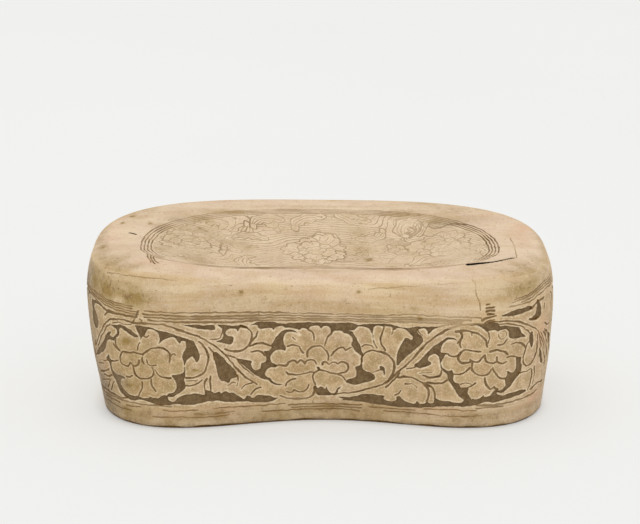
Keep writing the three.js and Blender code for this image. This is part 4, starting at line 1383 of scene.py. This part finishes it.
# Spots on the wall by arc length and height, on the headrest across and along.
WALL_STAINS: Spots = (
    (-142, 89, 20, 8, 0.95), (-120, 86, 16, 7, 0.7), (-127, 84, 4, 3, -0.6), (-158, 91, 14, 8, 0.6),
    (-112, 86, 14, 6, 0.4), (-118, 42, 30, 26, 0.38), (-80, 74, 40, 5, 0.3), (10, 12, 50, 3, 0.2),
    (-60, 84, 30, 5, 0.3), (-20, 80, 26, 5, 0.3), (20, 76, 30, 4, 0.3), (60, 88, 26, 6, 0.1),
    (124, 90, 12, 4, 0.6), (134, 88, 10, 4, 0.45), (112, 86, 12, 6, 0.25), (148, 92, 16, 6, 0.6),
    (58.5, 78.5, 2.6, 1.8, 0.9), (62, 72.5, 1.4, 1.2, 1.8), (-125, 27.2, 2.6, 1.3, 1.6),
    (-49, 88, 1.5, 1.1, 1.3), (-60, 6, 60, 3, 0.2), (-134, 8, 20, 6, 0.4),
    (24, 86.5, 1.4, 1.0, 1.2), (122, 54, 10, 8, 0.3), (-122.5, 57, 3, 2.4, 1.5),
    (-79.6, 39.6, 2, 1.1, 1.6), (-86, 41, 2.4, 2, 0.5), (-120, 28, 3, 2, 0.5), (8, 28, 5, 3, 0.3),
    (112, 6, 18, 4, 0.2), (260, 92, 50, 8, 0.4), (-300, 92, 50, 8, 0.4), (360, 20, 40, 12, 0.3),
)
# Grime, with painted shade: the wall's left end darkened where the light falls off, and a painted contact
# shadow along the bottom edge.
WALL_GRIME_AND_SHADE: Spots = (
    (-156, 14, 16, 16, 0.9), (-168, 45, 20, 44, 0.65), (164, 45, 14, 60, 0.15), (150, 8, 20, 8, 0.2),
    (0, 0, 420, 2.4, 1.0), (0, 8, 420, 5, 0.22), (-132, 30, 6, 5, 0.6), (-170, 88, 12, 12, 0.7),
    (300, 30, 80, 20, 0.3), (-260, 60, 60, 30, 0.3),
)
WALL_BLUSH: Spots = (
    (74, 11, 16, 4, 0.7), (148, 13, 14, 5, 0.9), (-58, 10, 16, 4, 0.5), (-100, 9, 14, 3, 0.4),
    (150, 60, 10, 16, 0.6), (12, 84, 40, 4, 0.3), (-152, 40, 10, 14, 0.4), (230, 12, 30, 5, 0.5),
    (-250, 12, 30, 5, 0.5), (330, 92, 40, 4, 0.4),
)
PALE_END: Spots = ((164, 45, 18, 60, 0.7),)


@dataclass
class CarvedWall:
    """The wall's four sheets, carved from the drawn cuts; lengths in mm.

    The groups drawn for the front are repeated three times round the rest, from link_start to the
    right of the front's middle on to link_end to its left, a little taller than in front.
    """

    finish: Any
    rows: int = 214
    depth: float = 1.0
    groove: float = 0.35
    sway: float = 0.12
    vent_depth: float = 8.0
    foot_round: float = 1.3
    foot_width: float = 10.0
    foot_gap: float = 0.05
    foot_shadow_line: float = 1.15
    link_start: float = 150.0
    link_end: float = 158.0
    bay_foot: float = 18.5
    bay_rise: float = 1.22
    middle_rise: float = 0.04

    def grid(self) -> tuple[Array, Array, Array, Array]:
        """The wall's points: the flat of the foot, its rounding, then rows up to the rim.

        Returns:
            Turn, arc length, height, and depth behind the finished face.
        """
        turn, s = LATTICE.columns()
        curl = np.array([1.0, 0.8, 0.6, 0.4, 0.2]) * math.pi / 2
        flat = np.linspace(self.foot_width, self.foot_round, 7)[:-1]
        low_z = np.concatenate([0 * flat, self.foot_round * (1 - np.sin(curl))]) + self.foot_gap
        low_d = np.concatenate([flat, self.foot_round * (1 - np.cos(curl))])
        rim = FORM.rim(turn)
        share = np.linspace(0, 1, self.rows)[:, None]
        z = np.concatenate([low_z[:, None] + 0 * rim, self.foot_round + (rim - self.foot_round) * share])
        d = np.concatenate([low_d[:, None] + 0 * rim, 0 * (share + rim)])
        return turn + 0 * z, s + 0 * z, z, d

    def carve(self, s: Array, z: Array, at: Array) -> Carving:
        """Cuts the frieze, the scratches and the combed lines round the whole wall.

        Args:
            s: arc lengths.
            z: heights.
            at: the points, which set the hand's wobble.

        Returns:
            The distances to all that is cut, and to the dark line at the foot, a painted contact shadow
            that is also cut as a shallow groove.
        """
        girth = s[0, -1] - s[0, 0]
        u = s + 0.22 * ripple(at, 3, 6.0) + 0.1 * ripple(at, 4, 2.2)
        v = z + 0.22 * ripple(at, 5, 6.0) + 0.1 * ripple(at, 6, 2.2)
        work = Carving(u, v, np.full(u.shape, FAR), 1.06 + 0.3 * ripple(at, 7, 14.0))
        for shape in sum(FRONT + (RIGHT_END, SCRATCHES), ()):
            for shift in (0.0, girth):
                work.cut(shape, shift)
        run = FRONT_END - FRONT_START
        step = (girth - run) / 3
        for k in range(3):
            rise = self.bay_rise + self.middle_rise * (k == 1)
            place = Placement(FRONT_START, FRONT_END + k * step, step / run, self.bay_foot, rise)
            for shape in sum(FRONT[1:5] if k < 2 else FRONT[1:4], ()):
                moved = shape.moved(place).kept(self.link_start, girth - self.link_end)
                if moved:
                    work.cut(moved)
        for shape in COMBS:
            for shift in (0.0, -girth):
                work.cut(shape, shift)
        # A dark line along the very bottom edge: painted contact shadow where the pillow meets the floor.
        work.line = np.minimum(work.line, z - self.foot_shadow_line - 0.4 * ripple(at, 33, 16.0))
        return work

    def relief(self, at: Array, work: Carving, away: Array, vent: Array) -> Array:
        """How deep the wall is cut in: ground, grooves, the hand's sway and the vent.

        Args:
            at: the points before they are cut.
            work: distances to what is cut.
            away: distance below the rim.
            vent: distance from the vent's edge, negative in it.

        Returns:
            Depths in mm.
        """
        depth = self.depth * smooth(0.15 - work.slip / 0.5) + self.groove * smooth(0.5 - work.line / 0.7)
        depth = depth * (away > 1.0) + self.sway * ripple(at, 30, 28.0) * smooth(away / 6)
        return np.where(vent < 0.4, self.vent_depth * smooth(0.3 - vent / 1.1), depth)

    def marks(self, at: Array, z: Array, wide: Array, work: Carving) -> dict[str, Array]:
        """What the finish reads on the wall.

        Args:
            at: the points as they are cut.
            z: heights of the uncut points.
            wide: arc lengths from the front's middle, both ways.
            work: distances to what is cut.

        Returns:
            Values for each point, by field.
        """
        lip = curve_at(wide, TOP_EDGE)
        carved = smooth((lip + 1.5 - z) / 2) * smooth((z - 12.5) / 3)
        combed = smooth((z - lip - 0.5) / 2) * smooth((lip + 12 - z) / 3)
        damp = 0.32 - 0.1 * smooth(wide / 90) + 0.25 * ripple(at, 31, 40.0) + 0.2 * ripple(at, 32, 14.0)
        comb_ink = curve_at(wide, COMB_INK) * np.where(z[-1] - z < 7, 0.6, 1)
        # Foot lines are dark ink; below 3 mm darker still, for the painted contact shadow at the bottom
        # edge.
        foot_ink = 0.65 + 0.4 * (z < 3)
        return {
            "edge": work.slip,
            "line": work.line,
            "carved": carved,
            # Where the pale painted highlight beside lines and edges goes: the carving, and half strength
            # in the combed band.
            "pale_edge_and_highlight": np.maximum(carved, 0.5 * combed),
            "stain": blobs(wide, z, WALL_STAINS) + smooth((14 - z) / 4) * damp,
            "grime_and_shade": blobs(wide, z, WALL_GRIME_AND_SHADE),
            "blush": blobs(wide, z, WALL_BLUSH),
            "side": 1 - blobs(wide, z, PALE_END),
            "ink": np.where(z > lip + 0.5, comb_ink, np.where(z < 17, foot_ink, 0.9)),
        }

    def build(self) -> list[Any]:
        """Makes the four sheets.

        Returns:
            Their objects, in the order front, right, back, left.
        """
        turn, s, z, d = self.grid()
        x, y, _ = FORM.wall(turn, z, d)
        at = np.stack([x, y, z], -1)
        work = self.carve(s, z, at)
        girth = s[0, -1] - s[0, 0]
        wide = np.mod(s + girth / 2, girth) - girth / 2
        away = z[-1] - z
        vent = np.hypot(s - girth / 2, z - FORM.vent_height) - FORM.vent_radius
        bend = arris(away)
        back = self.relief(at, work, away, vent) + bend
        nx, ny = FORM.outward(turn, FACING + 0 * z)
        at = at - np.stack([nx * back, ny * back, bend], -1)
        # The vent's inside gets the near-black painted shade of the hole field.
        fields = self.marks(at, z, wide, work) | {"hole": vent}
        made = []
        for k, side in enumerate(("front", "right", "back", "left")):
            part = slice(k * LATTICE.side, (k + 1) * LATTICE.side + 1)
            cells = {key: value[:, part] for key, value in fields.items()}
            made.append(net(f"carved_wall_{side}", at[:, part], cells, self.finish))
        return made


TOP_STAINS: Spots = (
    (-118, 62, 16, 8, 0.3), (-124, 44, 10, 12, 0.2), (-140, -12, 3, 9, 0.9), (-132, 38, 1.6, 2.4, 1.2),
    (-126, 51, 1.6, 1.8, 1.2), (-113, 35, 1.4, 2.0, 0.9), (100, 68, 30, 8, 0.35), (78, 80, 20, 5, 0.3),
    (104, 52, 14, 8, 0.3), (32, -5, 2.6, 2.2, 1.2), (-3, -8, 2.0, 1.8, 0.9), (-80, 33, 1.2, 1.6, 0.9),
    (-82, 47, 8, 6, 0.5), (82, 47, 12, 6, 0.6), (22, 38, 8, 16, 0.3), (28, 10, 6, 20, 0.25),
    (58, 56, 20, 3, 0.5), (-52, 58, 18, 2.5, 0.4), (130, -62, 10, 8, 0.8), (138, -40, 6, 14, 0.5),
    (-128, -58, 8, 12, 0.8), (-138, -38, 5, 16, 0.7), (-118, -72, 14, 5, 0.7), (118, -74, 14, 5, 0.6),
    (56, 62, 24, 4, 0.4), (-60, 60, 24, 4, 0.3), (0, 70, 60, 3, 0.3), (-10, -52, 90, 2.5, 0.25),
    (-88, 15, 30, 45, 0.26), (84, 15, 30, 40, 0.1),
)
TOP_GRIME: Spots = (
    (-144, 20, 4, 40, 0.4), (145, 10, 3, 50, 0.3), (84, 42, 16, 5, 0.4), (-96, 44, 6, 5, 0.4),
    (-106, 27, 4, 8, 0.4),
)
TOP_BLUSH: Spots = (
    (134, 30, 8, 34, 0.6), (112, 62, 16, 10, 0.4), (-100, -66, 30, 8, 0.4), (-136, 10, 8, 30, 0.4),
    (40, -62, 40, 6, 0.3),
)


@dataclass
class Headrest:
    """The rolled edge and the two halves of the dished headrest with its incised panel.

    Lengths are in mm. The border has four rings at ring_pitch, the outer one ring_start outside
    the panel's form.
    """

    finish: Any
    groove: float = 0.22
    crack_depth: float = 0.9
    crack_lift: float = 0.7
    comb_pitch: float = 3.3
    comb_width: float = 0.2
    ring_start: float = 2.6
    ring_pitch: float = 2.2
    ring_width: float = 0.4
    panel: PillowForm = PillowForm(
        half_width=113.0, front_depth=64.0, back_depth=72.0, front_power=2.6, back_power=2.7,
        waist_depth=30.0, waist_reach=105.0,
    )

    def comb_height(self, at: Array, dx: float = 0.0, dy: float = 0.0) -> Array:
        """Height w = y / comb_pitch + ripples that are drawn out across.

        Args:
            at: the points.
            dx: how far across they are moved.
            dy: how far along they are moved.

        Returns:
            Heights at the moved points; a comb line runs where w - 1/2 is whole.
        """
        p = np.stack([0.45 * (at[..., 0] + dx), at[..., 1] + dy, 0 * at[..., 0]], -1)
        return p[..., 1] / self.comb_pitch + 2.3 * ripple(p, 47, 29.0) + 0.4 * ripple(p, 48, 10.0)

    def combing(self, at: Array) -> Array:
        """Distance to the flowing comb lines, |frac w - 1/2| / |grad w|.

        Args:
            at: the points.

        Returns:
            Distances in mm.
        """
        small = 0.3
        w = self.comb_height(at)
        slope = np.hypot(self.comb_height(at, dx=small) - w, self.comb_height(at, dy=small) - w) / small
        return np.abs(np.mod(w, 1.0) - 0.5) / np.maximum(slope, 0.05)

    def incise(self, at: Array, u: Array, v: Array) -> tuple[Carving, Array]:
        """Cuts the panel: comb lines, fronds and blooms, the hooks, and the border's rings.

        Args:
            at: the points.
            u: their places across, with the hand's wobble.
            v: their places along, with the hand's wobble.

        Returns:
            The distances to all that is cut, and the distance inside the innermost ring.
        """
        work = Carving(u, v, np.full(u.shape, FAR), 1 + 0.3 * ripple(at, 43, 12.0))
        work.line = np.minimum(FAR, self.combing(at) - self.comb_width * work.broad)
        for shape in panel_cuts():
            work.cut(shape)
        turn = np.linspace(0, 4, 241)[:-1]
        ahead = smooth((-44 - v) / 6) * smooth((100 - np.abs(u)) / 6)
        width = (self.ring_width - 0.08 * smooth((-70 - u) / 30)) * work.broad
        rings = []
        for k in range(4):
            px, py = self.panel.outline(turn, self.ring_start - self.ring_pitch * k)
            away, inside = distance(u, v, np.stack([px, py + FORM.shift_y], -1), True)
            rings.append(away - width + (2 * (k > 1) - 0.3 * (k == 1)) * ahead)
        inner = np.where(inside, away, -away)
        work.line = np.where(inner > 1.2, work.line, FAR)
        for shape in PANEL_EXTRAS:
            work.cut(shape)
        work.line = np.minimum(work.line, np.min(rings, 0))
        return work, inner

    def crack(self, u: Array, v: Array) -> tuple[Array, Array]:
        """The crack that runs beside the panel at the right of the waist.

        Args:
            u: places across.
            v: places along.

        Returns:
            How far it gapes, 0..1, and the distance past its line.
        """
        gape = smooth((u - 90.5) / 2) * smooth((126 - u) / 5) * (1 - 0.42 * smooth((u - 95) / 16))
        return gape * (v < -30), v - curve_at(u, CRACK)

    def paint(self, at: Array, inset: Array) -> dict[str, Array]:
        """What the finish and the grooves read on the headrest.

        Args:
            at: the points.
            inset: distance in from the rim.

        Returns:
            Values for each point, by field.
        """
        u = at[..., 0] + 0.25 * ripple(at, 41, 9.0)
        v = at[..., 1] + 0.25 * ripple(at, 42, 9.0)
        work, inner = self.incise(at, u, v)
        gape, past = self.crack(u, v)
        # The crack's gap and the nick are painted near-black as shade; the crack is also sunk.
        hole = np.where(gape > 0.02, np.abs(past) - 0.12 - 0.5 * gape, FAR)
        nick, _ = distance(u, v, np.array(NICK), False)
        within = smooth(inner / 3 + 0.8)
        ends = smooth((np.abs(u) - 84) / 18) * smooth((62 - v) / 20)
        ring_ink = 0.42 + (0.45 - 0.12 * (u < 0)) * ends + 0.2 * smooth((-44 - v) / 6)
        return {
            "edge": work.slip,
            "line": work.line,
            "carved": np.zeros(u.shape),
            # The pale painted highlight beside lines goes at 0.7 inside the panel.
            "pale_edge_and_highlight": 0.7 * within,
            "stain": blobs(u, v, TOP_STAINS) + 0.12 * within,
            "grime_and_shade": blobs(u, v, TOP_GRIME),
            "blush": blobs(u, v, TOP_BLUSH),
            # Near the rim the roll takes the wall's yellower, darker slip; further in, the lighter top
            # slip, partly painted light from above.
            "side": 1 - smooth(inset / 7),
            "ink": np.where(inner > 0.5, 0.4, ring_ink) + 0.12 * ripple(at, 46, 24.0),
            "hole": np.minimum(hole, nick - 0.7),
            "lift": self.crack_lift * gape * np.tanh(past / 0.6) * np.exp(-(past / 7) ** 2),
        }

    def sink(self, at: Array, fields: dict[str, Array], drop: Array) -> Array:
        """Points lowered by the grooves and cracks.

        Args:
            at: the points.
            fields: what paint gives for them.
            drop: how far they sink besides.

        Returns:
            The lowered points.
        """
        low = (self.groove * smooth(0.5 - fields["line"] / 0.7)
               + self.crack_depth * smooth(0.1 - fields["hole"] / 0.8) - fields["lift"])
        return at - np.stack([0 * low, 0 * low, low + drop], -1)

    def roll(self) -> Any:
        """Makes the rolled edge, finer in the first 6 mm."""
        turn, _ = LATTICE.columns()
        inset = np.concatenate([np.linspace(0, 6, 18)[:-1], np.linspace(6, FORM.roll_width, 34)])
        turn, inset = turn + 0 * inset[:, None], inset[:, None] + 0 * turn
        at = np.stack(FORM.headrest(turn, inset, 0 * inset), -1)
        fields = self.paint(at, inset)
        fields["line"] = np.where(smooth(inset / 0.5) < 1, FAR, fields["line"])
        bend = arris(inset)
        nx, ny = FORM.outward(turn, FACING + 0 * inset)
        at = self.sink(at, fields, bend) - np.stack([nx * bend, ny * bend, 0 * bend], -1)
        return net("headrest_roll", at, fields, self.finish)

    def dish(self) -> list[Any]:
        """Makes the two halves of the dish."""
        turn, share = LATTICE.disc()
        at = np.stack(FORM.headrest(turn, FORM.roll_width + 0 * share, share), -1)
        fields = self.paint(at, np.full(share.shape, FORM.roll_width))
        at = self.sink(at, fields, 0 * share)
        half = LATTICE.side // 2
        made = []
        for name, part in (("left", slice(0, half + 1)), ("right", slice(half, None))):
            cells = {key: value[:, part] for key, value in fields.items()}
            made.append(net(f"headrest_dish_{name}", at[:, part], cells, self.finish))
        return made

    def build(self) -> list[Any]:
        """Makes the rolled ring and the dish halves."""
        return [self.roll()] + self.dish()


@dataclass
class Studio:
    """Pale floor, soft light and the camera.

    Distances are in metres, lens and sensor in mm.
    """

    sky: float = 0.825
    distance: float = 1.5
    aim_height: float = 0.055
    rise: float = math.radians(15.15)
    pitch: float = math.radians(13.852)
    lens: float = 129.4
    sensor: float = 36.0

    def floor(self) -> None:
        """A wide pale floor, evened out where the camera sees it but not close to the pillow's foot.

        Its net is the foot's outline grown ring by ring, and the field gap is the growth in mm.
        """
        g = Graph("pale_floor")
        colour = g.blend(g.noise(900.0).ease(0.3, 0.7), srgb(244, 244, 242), srgb(240, 240, 238))
        pale = g.finish(colour, 0.9, g.noise(60.0), 0.0)
        rays = [g.node("ShaderNodeLightPath", {}, {}, f"Is {kind} Ray")
                for kind in ("Camera", "Glossy", "Transmission")]
        seen = (rays[0] + rays[1] + rays[2]) * g.field("gap").ease(-2.0, 9.0, 0.25, 0.6)
        glow = g.node("ShaderNodeEmission", {}, {"Color": srgb(241, 241, 239)})
        both = g.node("ShaderNodeMixShader", {}, {0: seen, 1: Wire(g, g.shader.outputs[0]), 2: glow})
        g.tree.links.new(both.socket, g.tree.nodes["Material Output"].inputs["Surface"])
        turn = np.linspace(0, 4, 801)
        gap = np.concatenate([[-80.0, -20.0], np.linspace(-6, 40, 24), [80, 300, 1500, 8000]])[:, None]
        x, y = FORM.outline(turn + 0 * gap, gap + 0 * turn)
        at = np.stack([x, y + FORM.shift_y, 0 * x], -1)
        at[0] = at[0].mean(0)
        net("floor", at, {"gap": gap + 0 * turn}, pale, flip=True)

    def lamp(self, name: str, place: Sequence[float], aim: Sequence[float],
             size: float, power: float) -> None:
        """A square soft lamp.

        Args:
            name: its name.
            place: where it hangs.
            aim: the point that it looks at.
            size: its side.
            power: watts.
        """
        data = bpy.data.lights.new(name, "AREA")
        data.shape, data.size, data.energy = "SQUARE", size, power
        obj = bpy.data.objects.new(name, data)
        obj.location = place
        obj.rotation_euler = (Vector(aim) - Vector(place)).to_track_quat("-Z", "Y").to_euler()
        bpy.context.scene.collection.objects.link(obj)

    def light(self) -> None:
        """Even sky and two soft lamps, together at a plain level."""
        world = bpy.data.worlds.new("sky")
        world.use_nodes = True
        back = world.node_tree.nodes["Background"]
        back.inputs["Color"].default_value = (1.0, 1.0, 1.0, 1.0)
        back.inputs["Strength"].default_value = self.sky
        bpy.context.scene.world = world
        self.lamp("overhead", (-0.4, 0.6, 3.4), (0, 0.5, 0), 2.4, 22.0)
        self.lamp("front", (0.5, -2.5, 1.2), (0, 0, 0.05), 1.4, 7.0)

    def camera(self) -> None:
        """Camera in front, rise above the level, pitched so that the pillow sits low in the frame."""
        data = bpy.data.cameras.new("camera")
        data.lens, data.sensor_width, data.sensor_fit = self.lens, self.sensor, "HORIZONTAL"
        data.clip_end = 40.0
        obj = bpy.data.objects.new("camera", data)
        aim = Vector((0, FORM.shift_y * MM, self.aim_height))
        obj.location = aim + self.distance * Vector((0, -math.cos(self.rise), math.sin(self.rise)))
        obj.rotation_euler = (math.pi / 2 - self.pitch, 0, 0)
        bpy.context.scene.collection.objects.link(obj)
        bpy.context.scene.camera = obj

    def build(self) -> None:
        """Sets the whole stage."""
        self.floor()
        self.light()
        self.camera()
        bpy.context.scene.view_settings.view_transform = "Standard"


BANDS = ("shoulder_slip_band", "foot_slip_band")
SHEET_NODES = {
    "carved_wall_front": ("front_wall", "front_left", "front_middle", "front_right") + BANDS,
    "carved_wall_right": ("front_wall", "back_wall", "end_right") + BANDS,
    "carved_wall_back": ("back_wall", "back_right", "back_middle", "back_left") + BANDS,
    "carved_wall_left": ("front_wall", "back_wall", "end_left") + BANDS,
    "headrest_roll": ("headrest_slab", "headrest_slip"),
    "headrest_dish_left": ("headrest_slab", "headrest_slip"),
    "headrest_dish_right": ("headrest_slab", "headrest_slip"),
}


def node_names(words: Sequence[str]) -> list[str]:
    """CAD nodes named by words, a bay's name standing for its peony and its leaves.

    Args:
        words: names of nodes or of bays.

    Returns:
        The names of the nodes.
    """
    names = []
    for word in words:
        whole = [word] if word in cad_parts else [f"peony_relief_{word}", f"leaf_relief_{word}"]
        names.extend(whole)
    return names


def main() -> None:
    """Builds the pieces in order and dresses what stays of the CAD."""
    logging.basicConfig(level=logging.INFO, format="%(message)s")
    carved, clay = CarvedFinish().material(), ClayFinish().material()
    made = CarvedWall(carved).build() + Headrest(carved).build()
    for obj in made:
        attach(obj, "root")
        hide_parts(*node_names(SHEET_NODES[obj.name]))
        log.info("made %s with %d faces", obj.name, len(obj.data.polygons))
    for name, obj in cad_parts.items():
        obj.data.materials.clear()
        obj.data.materials.append(clay)
        log.info("dressed %s", name)
    Studio().build()


if __name__ == "__main__":
    main()
